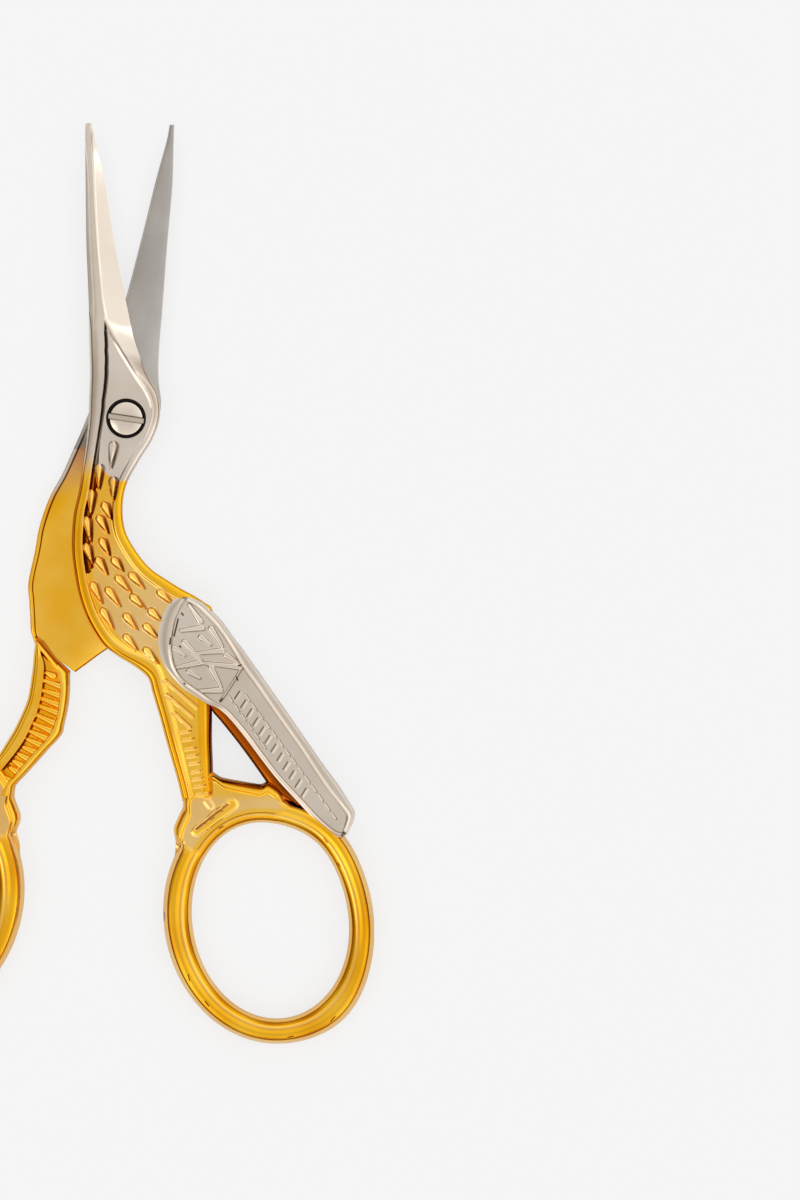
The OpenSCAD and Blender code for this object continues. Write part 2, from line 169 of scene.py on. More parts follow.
link(path, "Is Camera Ray", pick, 0)
link(tent, 0, pick, 1)
link(plain, 0, pick, 2)
link(pick, 0, out, "Surface")


def soft_box(name, place, size, power):
    """Adds a square lamp at a place in metres, its face turned to the middle of the scissors."""
    data = bpy.data.lights.new(name, "AREA")
    data.size = size
    data.energy = power
    lamp = bpy.data.objects.new(name, data)
    lamp.location = place
    look = np.subtract((0.0, -0.02, 0.0), place)
    tilt = np.arccos(-look[2] / np.linalg.norm(look))
    lamp.rotation_euler = (tilt, 0.0, np.arctan2(look[0], -look[1]))
    scene.collection.objects.link(lamp)


soft_box("right_soft_box", (0.6, 0.02, 0.5), 0.3, 1.2)
soft_box("far_right_soft_box", (0.35, 0.45, 0.5), 0.2, 1.6)
soft_box("left_window", (-0.7, 0.1, 0.3), 0.3, 0.9)

# Places in the photo

# They stand here as they were written down, in pixels. At the real size a pixel is 0.124 mm, and the
# screw's middle is the origin.
photo_pixel = 0.124
photo_pivot = (127, 418.5)


def from_photo(places, *groups):
    """Turns places in the photo, x y x y in pixels, into millimetres from the pivot, kept to 0.01 mm."""
    away = (np.reshape(places, (-1, 2)) - photo_pivot) * (photo_pixel, -photo_pixel)
    return np.round(away, 2).reshape(-1, *groups, 2)


# Front half, blade to leg

# A steel forging, half as thick as the handles, whose outer face is struck with the bird's rim,
# feathers and leg ribs, then ground at the blade and plated in nickel and gold.
plate_t = 1.75
lap = 0.05
thick = 2 * plate_t + lap
inner_z = plate_t + lap


def spline(points, t):
    """Catmull-Rom curve through equally spaced knots: a cubic through each pair of points whose slope at
    a point is half the step between its neighbours. t counts knots and may be an array."""
    p = np.asarray(points, float)
    t = np.asarray(t, float)
    i = np.clip(np.floor(t).astype(int), 0, len(p) - 2)
    u = (t - i).reshape((-1,) + (1,) * (p.ndim - 1))
    a, b, c, d = (p[np.clip(i + k, 0, len(p) - 1)] for k in (-1, 0, 1, 2))
    return b + u * (c - a) / 2 + u**2 * (a - 2.5 * b + 2 * c - d / 2) + u**3 * (1.5 * (b - c) + (d - a) / 2)


def ease(x):
    """Smooth step: 3x^2 - 2x^3 with x held between 0 and 1."""
    x = np.clip(x, 0.0, 1.0)
    return x * x * (3 - 2 * x)


def window(t, start, rise, end, fall):
    """Smooth step up that begins at start and takes rise, times a smooth step down that ends at end."""
    return ease((t - start) / rise) * ease((end - t) / fall)


def bell(away, width):
    """Bell curve: e to the minus square of a distance, counted in widths."""
    return np.exp(-((away / width) ** 2))


def arc(u):
    """Quarter circle: the root of 1 - (1 - u)^2, upright at 0 and level at 1."""
    return np.sqrt(1 - (1 - np.clip(u, 0, 1)) ** 2)


def most(first, *others):
    """The greatest of several values, point by point."""
    for other in others:
        first = np.maximum(first, other)
    return first


def even_steps(rows, spacing):
    """Knot parameters spaced evenly along the middle line of a strip; spacing is a list of
    (knot, step in mm), read off in between."""
    fine = np.linspace(0, len(rows) - 1, 4000)
    edge = spline(rows, fine)
    middle = (edge[:, 0] + edge[:, -1]) / 2
    lines = (edge[:, 0], edge[:, -1], middle)
    first, last, run = (np.linalg.norm(np.diff(line, axis=0), axis=1) for line in lines)
    run = (run + np.maximum(first, last)) / 2
    knots, steps = zip(*spacing)
    count = np.concatenate([[0], np.cumsum(run / np.interp(fine[1:], knots, steps))])
    return np.interp(np.linspace(0, count[-1], int(count[-1]) + 2), count, fine)


def beside(x, y, a, b):
    """Nearest place on the line from a to b, as a share of its length, and the distance to it."""
    ex, ey = b[0] - a[0], b[1] - a[1]
    t = np.clip(((x - a[0]) * ex + (y - a[1]) * ey) / np.hypot(ex, ey) ** 2, 0, 1)
    return t, np.hypot(x - a[0] - t * ex, y - a[1] - t * ey)


def strokes(x, y, lines, width, rise, taper=0.0, flat=1.0):
    """Height of raised strokes. Each stroke runs from a first to a last point; its half width shrinks
    by the taper towards the last point, and its section is a circle's arc raised to the power flat."""
    z = np.zeros_like(x)
    for a, b in lines:
        t, away = beside(x, y, a, b)
        section = np.clip(1 - (away / (width / 2 * (1 - taper * t))) ** 2, 0, 1) ** (0.5 * flat)
        z = np.maximum(z, rise * section * (1 - 0.3 * taper * t))
    return z


def teardrops(x, y, drops, width, rise):
    """Height of raised feathers. Each is an almond round its line from head to tip: the half width is a
    circle's at the head and falls to nothing at the tip, and the section is an arc with a keel."""
    z = np.zeros_like(x)
    r = width / 2
    for (ax, ay), (bx, by) in drops:
        length = np.hypot(bx - ax, by - ay)
        ex, ey = (bx - ax) / length, (by - ay) / length
        t = (x - ax) * ex + (y - ay) * ey
        n = (y - ay) * ex - (x - ax) * ey
        back = np.sqrt(np.clip(1 - (t / r) ** 2, 0, 1))
        on = np.clip(1 - t / length, 0, 1) ** 0.7 * (1 + 0.25 * np.clip(t / length, 0, 1))
        half = r * np.where(t < 0, back, on) + 1e-6
        round_part = np.clip(1 - (n / half) ** 2, 0, 1)
        keel = np.clip(1 - np.abs(n) / half, 0, 1)
        z = np.maximum(z, rise * (0.5 * round_part + 0.5 * keel) * np.where(t > length, 0, 1))
    return z


tints = {
    "gold": ((0.95, 0.49, 0.03), (1.0, 0.60, 0.09)),
    "nickel": ((0.72, 0.62, 0.52), (0.80, 0.71, 0.61)),
    "steel": ((0.43, 0.40, 0.365), (0.52, 0.49, 0.45)),
}
# Painted shade: what it multiplies the tint by, from the open face to the deepest point of a recess
painted_shade_spots = (0.0, 0.15, 0.4, 0.7, 1.0)
painted_shade_tints = {
    "gold": ((1, 1, 1), (0.96, 0.88, 0.3), (0.72, 0.48, 0.1), (0.36, 0.12, 0.03), (0.05, 0.02, 0.02)),
    "nickel": ((1, 1, 1), (0.87, 0.85, 0.82), (0.66, 0.61, 0.55), (0.32, 0.27, 0.22), (0.04, 0.034, 0.03)),
}


def plating(name, finish, brushed=0.0, pale="nickel"):
    """Plated steel. The finish is gold, nickel or both; both mixes them by the piece's gold attribute.
    A noise varies the tint, a per-point mark darkens it with painted shade, strongest in the
    recesses, and a broad noise and fine polishing lines give the bump. The lines also vary the roughness."""
    material = bpy.data.materials.new(name)
    material.use_nodes = True
    add, link = node_tree(material)
    place = add("ShaderNodeTexCoord")
    hollow = add("ShaderNodeAttribute", {"attribute_name": "hollow"})
    cloud = add("ShaderNodeTexNoise", Scale=110.0, Detail=4.0, Roughness=0.55)
    link(place, "Object", cloud, "Vector")
    spread = add("ShaderNodeMapRange", From_Min=0.36, From_Max=0.64)
    link(cloud, "Fac", spread, "Value")
    colours = {}
    for metal in ("gold", pale) if finish == "both" else (finish,):
        low, high = tints[metal]
        tint = add("ShaderNodeMix", {"data_type": "RGBA", 6: (*low, 1), 7: (*high, 1)})
        link(spread, 0, tint, 0)
        depth = add("ShaderNodeValToRGB")
        fill_ramp(depth, list(zip(painted_shade_spots, painted_shade_tints.get(metal, painted_shade_tints["nickel"]))))
        link(hollow, "Fac", depth, 0)
        sunk = add("ShaderNodeMix", {"data_type": "RGBA", "blend_type": "MULTIPLY"}, Factor=1.0)
        link(tint, 2, sunk, 6)
        link(depth, 0, sunk, 7)
        colours[metal] = sunk
    shader = add("ShaderNodeBsdfPrincipled", Metallic=1.0)
    if finish == "both":
        gold = add("ShaderNodeAttribute", {"attribute_name": "gold"})
        mixed = add("ShaderNodeMix", {"data_type": "RGBA"})
        link(gold, "Fac", mixed, 0)
        link(colours[pale], 2, mixed, 6)
        link(colours["gold"], 2, mixed, 7)
        link(mixed, 2, shader, "Base Color")
    else:
        link(colours[finish], 2, shader, "Base Color")
    grain = add("ShaderNodeMapping", Scale=(9000.0, 900.0, 900.0) if brushed else (5000.0, 1500.0, 2500.0))
    link(place, "Object", grain, "Vector")
    lines = add("ShaderNodeTexNoise", Scale=1.0, Detail=2.0)
    link(grain, "Vector", lines, "Vector")
    base = 0.3 if brushed else 0.1
    rough = add("ShaderNodeMapRange", To_Min=base - 0.04, To_Max=base + 0.07)
    link(lines, "Fac", rough, "Value")
    link(rough, 0, shader, "Roughness")
    waves = add("ShaderNodeTexNoise", Scale=420.0, Detail=2.0)
    link(place, "Object", waves, "Vector")
    wavy = add("ShaderNodeBump", Strength=0.12, Distance=0.00012)
    link(waves, "Fac", wavy, "Height")
    fine = add("ShaderNodeBump", Strength=0.05 + brushed, Distance=0.00002)
    link(lines, "Fac", fine, "Height")
    link(wavy, "Normal", fine, "Normal")
    link(fine, "Normal", shader, "Normal")
    out = add("ShaderNodeOutputMaterial")
    link(shader, 0, out, "Surface")
    return material


gold_finish = plating("gold_plating", "gold")
nickel_finish = plating("nickel_plating", "nickel")
two_tone_finish = plating("two_tone_plating", "both")
ground_finish = plating("ground_blade_plating", "both", brushed=0.15, pale="steel")
# Near-black base colour for the faces the drill cuts: painted shade in the bore and in the gap round the
# screw head
recess_shade_finish = plating("painted_recess_shade", "steel")
recess_shade_shader = recess_shade_finish.node_tree.nodes["Principled BSDF"]
recess_shade_finish.node_tree.links.remove(recess_shade_shader.inputs["Base Color"].links[0])
recess_shade_shader.inputs["Base Color"].default_value = (0.02, 0.016, 0.013, 1)


def skin(name, sections, material, body, slot, ring=False, sharp=62.0, slope_shade=0.16, **marks):
    """Closed mesh over a row of closed sections, an array of section, point and x y z in mm. Four-cornered
    faces join neighbouring points of neighbouring sections, one flat face closes each end, and the
    sign of the volume turns them outward. Marks are values per point, kept as attributes. On gold,
    slopes get painted shade added to their shade mark, up to the amount given, more where they face right."""
    n, m = sections.shape[:2]
    i = np.arange(n if ring else n - 1)[:, None]
    j = np.arange(m)[None, :]
    a, b = i * m + j, i * m + (j + 1) % m
    d, c = (i + 1) % n * m + j, (i + 1) % n * m + (j + 1) % m
    quads = np.stack(np.broadcast_arrays(a, b, c, d), -1).reshape(-1, 4)
    points = sections.reshape(-1, 3)
    p, q, r, s = (points[quads[:, k]] for k in range(4))
    volume = np.einsum("ij,ij->", p, np.cross(q, r)) + np.einsum("ij,ij->", p, np.cross(r, s))
    ends = np.zeros((0, m), int) if ring else np.stack([np.arange(m)[::-1], (n - 1) * m + np.arange(m)])
    if volume < 0:
        quads, ends = quads[:, ::-1], ends[:, ::-1]
    mesh = bpy.data.meshes.new(name)
    mesh.vertices.add(len(points))
    mesh.vertices.foreach_set("co", (points * MM).astype(np.float32).ravel())
    corners = np.concatenate([quads.ravel(), ends.ravel()])
    starts = np.concatenate([np.arange(len(quads)) * 4, len(quads) * 4 + np.arange(len(ends)) * m])
    mesh.loops.add(len(corners))
    mesh.polygons.add(len(starts))
    mesh.polygons.foreach_set("loop_start", starts.astype(np.int32))
    mesh.polygons.foreach_set("vertices", corners.astype(np.int32))
    mesh.update(calc_edges=True)
    mesh.validate()
    mesh.shade_smooth()
    mesh.set_sharp_from_angle(angle=np.radians(sharp))
    if material in (gold_finish, two_tone_finish):
        normals = np.empty(len(points) * 3, np.float32)
        mesh.vertex_normals.foreach_get("vector", normals)
        # Painted shade on gold: sloping faces darken, more where they face right
        upright = np.abs(normals[2::3])
        facing_right = 0.55 + 0.45 * ease((normals[0::3] + 0.1) / 0.4)
        steep = (window(upright, 0.3, 0.25, 0.93, 0.25) * facing_right).reshape(sections.shape[:2])
        marks["hollow"] = np.maximum(marks["hollow"], slope_shade * steep * marks.get("gold", 1.0))
    for mark, values in marks.items():
        layer = mesh.attributes.new(mark, "FLOAT", "POINT")
        layer.data.foreach_set("value", np.ascontiguousarray(values, np.float32).ravel())
    mesh.materials.append(material)
    piece = bpy.data.objects.new(name, mesh)
    scene.collection.objects.link(piece)
    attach(piece, body)
    return piece


# Left and right edge of the bird, x y and x y, at stations from the blade tip to the foot of the leg
front_rows = np.reshape([
    -5.13, 36.75, -4.38, 36.75, -5.15, 34.5, -3.9, 34.5, -5.1, 29.6, -2.8, 29.6, -5.0, 22.1, -1.6, 22.1,
    -4.7, 14.7, -0.1, 14.7, -4.6, 9.7, 1.0, 9.7, -4.5, 6.0, 2.4, 6.0, -4.6, 2.9, 3.9, 3.0,
    -4.7, 0.1, 4.1, 0.2, -5.0, -2.8, 3.2, -2.5, -5.4, -5.5, 1.6, -5.1, -5.9, -8.9, 0.0, -8.1,
    -6.6, -12.1, -0.5, -11.1, -6.8, -15.8, -0.1, -14.1, -6.5, -18.9, 1.5, -16.9,
    -5.9, -22.0, 3.1, -18.7, -4.8, -25.0, 5.0, -20.0, -3.0, -27.9, 6.6, -21.0, -1.0, -29.5, 8.0, -21.75,
    0.65, -30.5, 9.6, -22.75, 1.9, -31.4, 10.7, -23.9, 2.75, -32.3, 10.7, -27.8,
    3.2, -33.9, 10.2, -31.6, 3.65, -35.4, 10.5, -34.2, 4.15, -37.1, 10.6, -36.6,
    4.85, -39.7, 10.6, -39.8, 5.6, -42.3, 10.7, -42.4, 6.4, -45.1, 10.8, -44.9,
    6.95, -47.5, 11.2, -47.2,
], (-1, 2, 2))
# Stations on these rows: end of the ground blade, of the head and of the groove, start and end of the
# neck, and start of the leg
blade_end, head_end, groove_end, neck_start, neck_end, leg_start = 4.8, 8.5, 14.25, 9.5, 18.5, 21
# Share of the width right of the cutting bevel's ridge, then the rim's width as a share of the rest
bevel_share = (
    [0, 0.27, 0.8, 1.56, 2.2, 2.8, 3.4, 3.9, 4.45, 4.84, 5.2, 5.6, 6.1, 6.7, 7.2, 7.6, 9, 12, 18, 21,
     24, 28],
    [0.2, 0.3, 0.38, 0.54, 0.595, 0.61, 0.628, 0.64, 0.6, 0.487, 0.375, 0.29, 0.216, 0.16, 0.12, 0.1,
     0.12, 0.15, 0.1, 0.15, 0.24, 0.3],
)
rim_share = (
    [0, 4.2, 4.45, 4.8, 5.3, 5.9, 6.6, 7.2, 8, 8.6, 9.2, 9.7, 10.2, 10.8, 11.4, 12.5, 13.1, 13.7, 14.3,
     16, 18, 21, 22, 24, 26, 28],
    [0.96, 0.97, 0.93, 0.69, 0.48, 0.355, 0.265, 0.207, 0.186, 0.182, 0.187, 0.2, 0.218, 0.248, 0.275,
     0.265, 0.24, 0.21, 0.19, 0.14, 0.115, 0.2, 0.24, 0.3, 0.35, 0.4],
)
# Width of the groove beside the rim in mm, its depth in shares of the plate's thickness, and the share
# of its width painted black as shade
groove_width = (
    [4.4, 4.8, 6, 9, 10.5, 12, 14.2, 14.6],
    [0.12, 0.34, 0.42, 0.36, 0.45, 0.62, 0.75, 0.75],
)
groove_depth = ([4.4, 4.7, 9, 11, 13, 14.3, 14.5], [0, 0.6, 0.6, 0.5, 0.4, 0.35, 0])
groove_shade_share = ([5, 8, 9, 14], [0.75, 0.65, 0.5, 0.5])
# Heights over the inner face, in shares of the plate's thickness
rim_height = ([0, 1, 2, 3, 4, 5, 6, 7, 28], [0.16, 0.24, 0.38, 0.52, 0.66, 0.82, 0.93, 0.98, 0.98])
panel_height = (
    [0, 4.4, 5, 6, 7, 8.6, 10.5, 12, 14, 20, 23, 28],
    [0.6, 0.69, 0.78, 0.88, 0.92, 0.92, 0.83, 0.8, 0.8, 0.82, 0.84, 0.84],
)
ridge_height = (
    [0, 0.3, 1, 2, 3, 4, 5, 6, 7, 12, 14, 20, 22, 28],
    [0.1, 0.12, 0.2, 0.38, 0.52, 0.66, 0.82, 0.93, 0.97, 0.94, 0.92, 0.92, 0.88, 0.86],
)
edge_height = (
    [0, 4.6, 5.4, 6.2, 7, 9, 20, 22.5, 28],
    [0.04, 0.05, 0.28, 0.52, 0.68, 0.72, 0.6, 0.06, 0.06],
)


def plate_face(rows, t):
    """Outer face of a half's plate on a grid. Across it: an arc up to the rim, a groove with steep
    walls, a panel, a bead or ridge, and then the bevel, straight at the blade and an arc at the neck.
    Returns x, y, the height over the inner face, the panel's own height, a 0 to 1 mark of painted
    shade, strongest in the recesses, and how pale the gold is, from worn plating and painted highlights."""
    station = t[:, None]
    value = lambda knots, values: np.interp(station, knots, values)
    tip_round, tip_least = 0.18, 0.02
    edge = spline(rows, t)
    middle = edge.mean(axis=1, keepdims=True)
    edge = middle + (edge - middle) * arc(np.maximum(t / tip_round, tip_least))[:, None, None]
    left, right = edge[:, :1], edge[:, 1:]
    wide = np.linalg.norm(right - left, axis=2)
    # Distances from the left edge, and the number of grid lines from each to the next
    ridge = wide * (1 - value(*bevel_share))
    rim = ridge * value(*rim_share)
    open_w = ridge - rim
    gap = np.minimum(value(*groove_width), 0.6 * open_w)
    wall = np.minimum(value([14.5, 18], [0.12, 0.6]), 0.2 * open_w)
    slope = np.minimum(value([9, 11], [0.12, 0.45]), 0.15 * open_w)
    bead = np.minimum(0.5, 0.25 * open_w)
    stops = [
        0 * rim, 0.16 * rim, 0.55 * rim, rim, rim + wall, rim + gap, rim + gap + slope, ridge - bead, ridge,
        wide - 0.3 * (wide - ridge), wide,
    ]
    spans = [
        a + (b - a) * np.linspace(0, 1, lines, endpoint=False)
        for a, b, lines in zip(stops, stops[1:], (7, 9, 8, 4, 10, 5, 72, 9, 12, 8))
    ]
    q = np.concatenate(spans + [wide], axis=1)
    xy = left + (right - left) / wide[..., None] * q[..., None]
    x, y = xy[..., 0], xy[..., 1]

    # Heights: rim, groove, panel, ridge, then the bevel
    tables = (rim_height, panel_height, ridge_height, edge_height)
    h_rim, h_panel, h_ridge, h_edge = (value(*table) for table in tables)
    z_rim = h_rim * (0.45 + 0.55 * arc(q / (0.5 * rim))) - 0.03 * ease((q / rim - 0.5) * 2)
    z_spine = h_ridge * (0.5 + 0.5 * (1 - (1 - np.clip(q / ridge, 0, 1)) ** 1.7))
    middle = np.clip((q - rim - gap) / (ridge - rim - gap), 0, 1)
    z_panel = h_panel - 0.02 * np.sin(np.pi * middle)
    part = (q - rim) / gap
    round_end = groove_end - 0.15 * (1 - np.sqrt(np.clip(1 - (2 * part - 1) ** 2, 0, 1)))
    closing = ease((round_end - station) / 0.06)
    floor = h_panel - value(*groove_depth) * closing
    fold = bell(q - value([16, 18, 20], [0.5, 0.6, 0.85]), 0.19) * ease((station - 16.5) / 2)
    crest_line = bell(q - rim + 0.13, 0.09) * ease((station - head_end) / 1.5)
    z_rim = z_rim - 0.05 * fold + 0.025 * crest_line
    down = ease((q - rim) / wall)
    rise = ease((q - rim - gap) / slope)
    on_bead = ease((q - ridge + bead) / bead)
    z = z_rim * (1 - down) + floor * down * (1 - rise) + z_panel * rise
    z = z + (h_ridge - z_panel) * on_bead
    blade = ease((blade_end - station) / 0.6)
    z = blade * z_spine + (1 - blade) * z
    out = np.clip((q - ridge) / (wide - ridge), 0, 1)
    ground = h_ridge + (h_edge - h_ridge) * out
    rounded = h_edge + (h_ridge - h_edge) * np.sqrt(1 - out**2)
    bevel = ease((7.0 - station) / 1.6)
    z = np.where(q > ridge, bevel * ground + (1 - bevel) * rounded, z)
    z = z + window(station, 0.4, 0.5, 9.6, 1.0) * value([4, 5], [0.02, 0.035]) * bell(q - ridge, 0.13)

    # Painted shade: groove, bevel, rim of the blade and head, bands of the neck, fold, leg's right edge, rim
    # and bead
    on_neck = ease((station - neck_start) / 1.5)
    groove = (1 - blade) * down * (1 - rise) * np.clip(value(*groove_depth) * 3, 0, 1) * closing
    groove = groove * (0.58 + 0.42 * (1 - ease((part - value(*groove_shade_share)) / 0.2)))
    bevel_shade = 0.3 * np.sin(np.pi * out) * window(station, 5.3, 0.6, 8.8, 1.2)
    blade_rim_shade = value([3, 6], [0.06, 0.42]) * bell(q / rim - 0.36, 0.24) * window(station, 1.5, 2, 11, 1.5)
    band = most(0.48 * (1 - ease((q - 0.44) / 0.12)), 0.26 * window(q, 0.7, 0.15, rim - 0.28, 0.12))
    band = band * on_neck * ease((neck_end - station) / 2)
    leg = most(0.68 * ease((out - 0.68) / 0.2), 0.36 * bell(out - 0.36, 0.2))
    leg = leg * ease((station - leg_start) / 2)
    rim_bead_shade = on_neck * np.where((q < rim) | (q > ridge - 0.5 * bead), 0.15, 0.0)
    sunk = most(groove, bevel_shade, blade_rim_shade, 0.52 * fold, band, leg, rim_bead_shade)
    # Paler gold: worn thin on the panel, painted highlights along the crests, and paler at the left edge
    panel_thin = value([10.5, 13.5, 17, 20, 23], [0.0, 0.08, 0.3, 0.25, 0.0]) * rise * (1 - on_bead)
    painted_highlight = most(crest_line, bell(q - ridge + 0.1, 0.12) * window(station, head_end, 1.5, 21.5, 1.5))
    sunk = sunk * (1 - on_neck * painted_highlight)
    edge_pale = 0.22 * ease((0.2 - q) / 0.15) * ease((station - 12) / 2)
    wear_and_sheen = most(panel_thin * (1 - painted_highlight), 0.13 * painted_highlight, edge_pale)
    return x, y, z * plate_t, h_panel * plate_t, sunk, wear_and_sheen


def closed_plate(x, y, z, low=0.0):
    """Closed sections from a face: its points, then the feet of its right and left edge at height low."""
    foot = lambda k: np.stack([x[:, k], y[:, k], np.full(len(x), low)], -1)[:, None]
    return np.concatenate([np.stack([x, y, z], -1), foot(-1), foot(0)], axis=1)


def widen(mark):
    """Gives a mark of the face to the two foot points of each section as well."""
    return np.concatenate([mark, mark[:, -1:], mark[:, :1]], axis=1)


# Feathers from head to tip, and the leg's slanting ribs and ticks, each by its two ends
neck_feathers = from_photo([
    114, 446, 111, 469, 100, 468, 99, 490, 114, 481, 113.6, 501, 92.4, 494, 91, 515, 106, 506, 112, 520,
    88, 521, 91, 542.5, 101, 519, 108.6, 534, 88, 547.5, 93, 564, 103.6, 542, 110, 556,
    100, 561, 108, 575, 116, 561, 123.5, 571.5, 94.5, 586, 103, 604, 110, 591, 121, 607,
    120, 579, 132, 593, 133.5, 576, 145, 589,
], 2)
breast_feathers = from_photo([
    135, 598, 146, 609, 162, 593, 173, 604, 104.5, 612, 114, 629, 128, 617, 138, 630,
    153, 612, 163, 622, 148, 627, 159, 639, 128, 638, 138, 650, 148, 651, 159, 664,
], 2)
feather_w = 1.26
feather_rise = 0.38
leg_slants = from_photo([
    165.6, 680.6, 196.9, 707.5, 166.9, 694.4, 193, 716.9, 175, 713, 190.6, 727.5,
], 2)
leg_ticks = np.reshape([
    6.75, -38.95, 7.85, -38.75, 7.05, -39.9, 8.25, -39.7, 7.35, -41.05, 8.5, -40.85,
    7.6, -41.95, 8.75, -41.75, 7.9, -42.85, 9.0, -42.65, 8.2, -43.9, 9.25, -43.65,
    8.3, -44.8, 9.45, -44.55, 8.45, -45.7, 9.7, -45.45, 8.7, -46.7, 10.3, -46.45,
], (-1, 2, 2))
slant_w, slant_rise, tick_w, tick_rise = 0.46, 0.14, 0.42, 0.12
# How far feathers and ribs may stand over the plate's nominal face
proud = 0.09


def shadow_side(height, x, y, dx, dy, soft):
    """Painted shadow beside raised forms: how far a copy of them, shifted by dx and dy, stands
    above them, over a soft height."""
    return np.clip((height(x - dx, y - dy) - height(x, y)) / soft, 0, 1)


def front_relief(x, y, z, level, sunk, wear_and_sheen):
    """Strikes the feathers on neck and breast and the leg's slanting ribs and ticks into a face. The
    feathers stand on the panel's level, so they also rise out of the groove."""
    drops = np.concatenate([neck_feathers, breast_feathers])
    feathers = lambda a, b: teardrops(a, b, drops, feather_w, feather_rise)
    slants = lambda a, b: strokes(a, b, leg_slants, slant_w, slant_rise, flat=1.4)
    ticks = lambda a, b: strokes(a, b, leg_ticks, tick_w, tick_rise, flat=1.4)
    ribs = lambda a, b: slants(a, b) + ticks(a, b)
    f, r = feathers(x, y) * np.clip((plate_t + proud - 0.01 - level) / feather_rise, 0, 1), ribs(x, y)
    on = ease(f / 0.08)
    z = z * (1 - on) + on * np.maximum(z, level + f) + r
    # Painted shadows: on the lower right of each feather, stronger on the neck, beside the ribs, and as dark
    # spots at the tick ends
    depth = np.interp(y, [-21, -18, -7, -6.5], [0.6, 0.95, 0.95, 0.8])
    drop_shadow = depth * shadow_side(feathers, x, y, 0.26, -0.08, 0.22)
    rib_shadow = 0.5 * shadow_side(ribs, x, y, 0.13, 0.07, 0.09)
    tick_end_shade = strokes(x, y, [(end, end + 0.01) for _, end in leg_ticks], 0.34, 0.6)
    # Painted highlights: paler gold over the feathers, most on their flanks, and over the ribs
    painted_highlight = ease(f / 0.03) * (0.34 - 0.22 * ease((f / feather_rise - 0.2) / 0.3))
    painted_highlight = most(painted_highlight, 0.16 * ease(r / 0.08))
    sunk = most(sunk * (1 - on), drop_shadow, rib_shadow, tick_end_shade)
    return np.minimum(z, plate_t + proud), sunk, most(wear_and_sheen * (1 - on), painted_highlight)


# Outline that the wing covers, a little inside its own edge
wing_cover = from_photo([
    183, 598, 172, 606.5, 166, 616, 162.5, 628, 161.5, 640, 163, 653, 167, 663, 175, 674.5, 186, 686,
    198, 694, 209, 701, 222, 707, 233, 717, 330, 830, 352, 812, 290, 719, 258, 675, 229, 635,
    214, 614.5, 203, 604, 192, 598,
])


def under_wing(x, y):
    """How far the plate's face drops where the wing lies over it: the distance inside the wing's
    outline, told by how often the outline winds round a point, eased to a fixed depth."""
    away = np.full(x.shape, 9.0)
    turns = np.zeros(x.shape)
    for a, b in zip(wing_cover, np.roll(wing_cover, -1, axis=0)):
        away = np.minimum(away, beside(x, y, a, b)[1])
        side = (b[0] - a[0]) * (y - a[1]) - (x - a[0]) * (b[1] - a[1])
        turns += np.where((a[1] <= y) & (b[1] > y) & (side > 0), 1, 0)
        turns -= np.where((a[1] > y) & (b[1] <= y) & (side < 0), 1, 0)
    return np.where(turns != 0, ease(away / 0.5) * 0.75, 0)


def plating_line(x, y):
    """How gold the neck is. The line stands higher at the left rim, where it also fades over 4 mm."""
    line = np.interp(x, [-4.3, -3.3, -2.6, -1.2], [-3.6, -5.7, -6.5, -7.55])
    fade = np.interp(x, [-4.3, -3.4], [4.2, 0.4])
    return ease((line - y) / fade)


# Two meshes, nickel and gold, meet at a station of the neck
cut = 10.6
leg_foot = -46.95
front_spacing = [(0, 0.05), (0.25, 0.06), (0.5, 0.25), (4, 0.3), (4.4, 0.14), (9, 0.1), (28, 0.1)]
t_all = even_steps(front_rows, front_spacing)
pieces = {}
for name, keep, slot in (
    ("front_blade", t_all <= cut, "nickel_plate"),
    ("front_breast", t_all >= t_all[t_all <= cut][-1], "gold_plate"),
):
    x, y, z, level, sunk, wear_and_sheen = plate_face(front_rows, t_all[keep])
    z, sunk, wear_and_sheen = front_relief(x, y, z, level, sunk, wear_and_sheen)
    z = z - under_wing(x, y) - 0.5 * ease((leg_foot - y) / 0.5) * (x > 5)
    pieces[name] = skin(
        name, closed_plate(x, y, z + inner_z, inner_z), two_tone_finish, "front", slot,
        gold=widen(plating_line(x, y) * (1 - wear_and_sheen)), hollow=widen(sunk),
    )
front_blade = pieces["front_blade"]
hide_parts("front_half")

# Counterbore and bore for the screw, cut through the front half's head
bore_r = 1.55
counterbore_r = 2.48
seat_z = inner_z + plate_t / 2


def turned(outline, around=96):
    """Sections of a turned solid: the outline's radius and height carried round the z axis."""
    angle = np.linspace(0, 2 * np.pi, around, endpoint=False)[:, None]
    r, z = np.asarray(outline, float).T
    return np.stack([r * np.cos(angle), r * np.sin(angle), z + 0 * angle], -1)


def drill(piece, outline):
    """Takes a turned solid, given by its radii from the bottom up, out of a piece, and frees the mesh."""
    rings = turned(outline).transpose(1, 0, 2)
    blank = 0 * rings[..., 0]
    cutter = skin("drill", rings, recess_shade_finish, "front", "nickel_plate", gold=blank, hollow=blank)
    cut_out = piece.modifiers.new("drill", "BOOLEAN")
    cut_out.operation, cut_out.solver, cut_out.object = "DIFFERENCE", "EXACT", cutter
    # The cut faces take the cutter's near-black painted shade
    cut_out.material_mode = "TRANSFER"
    shaped = bpy.data.meshes.new_from_object(piece.evaluated_get(bpy.context.evaluated_depsgraph_get()))
    piece.modifiers.clear()
    old, piece.data = piece.data, shaped
    shaped.name = piece.name
    bpy.data.objects.remove(cutter)
    bpy.data.meshes.remove(old)
    piece.data.set_sharp_from_angle(angle=np.radians(40.0))


drill(front_blade, [(bore_r, 0.5), (bore_r, seat_z), (counterbore_r, seat_z), (counterbore_r, 5.0)])

# Underside of the front leg

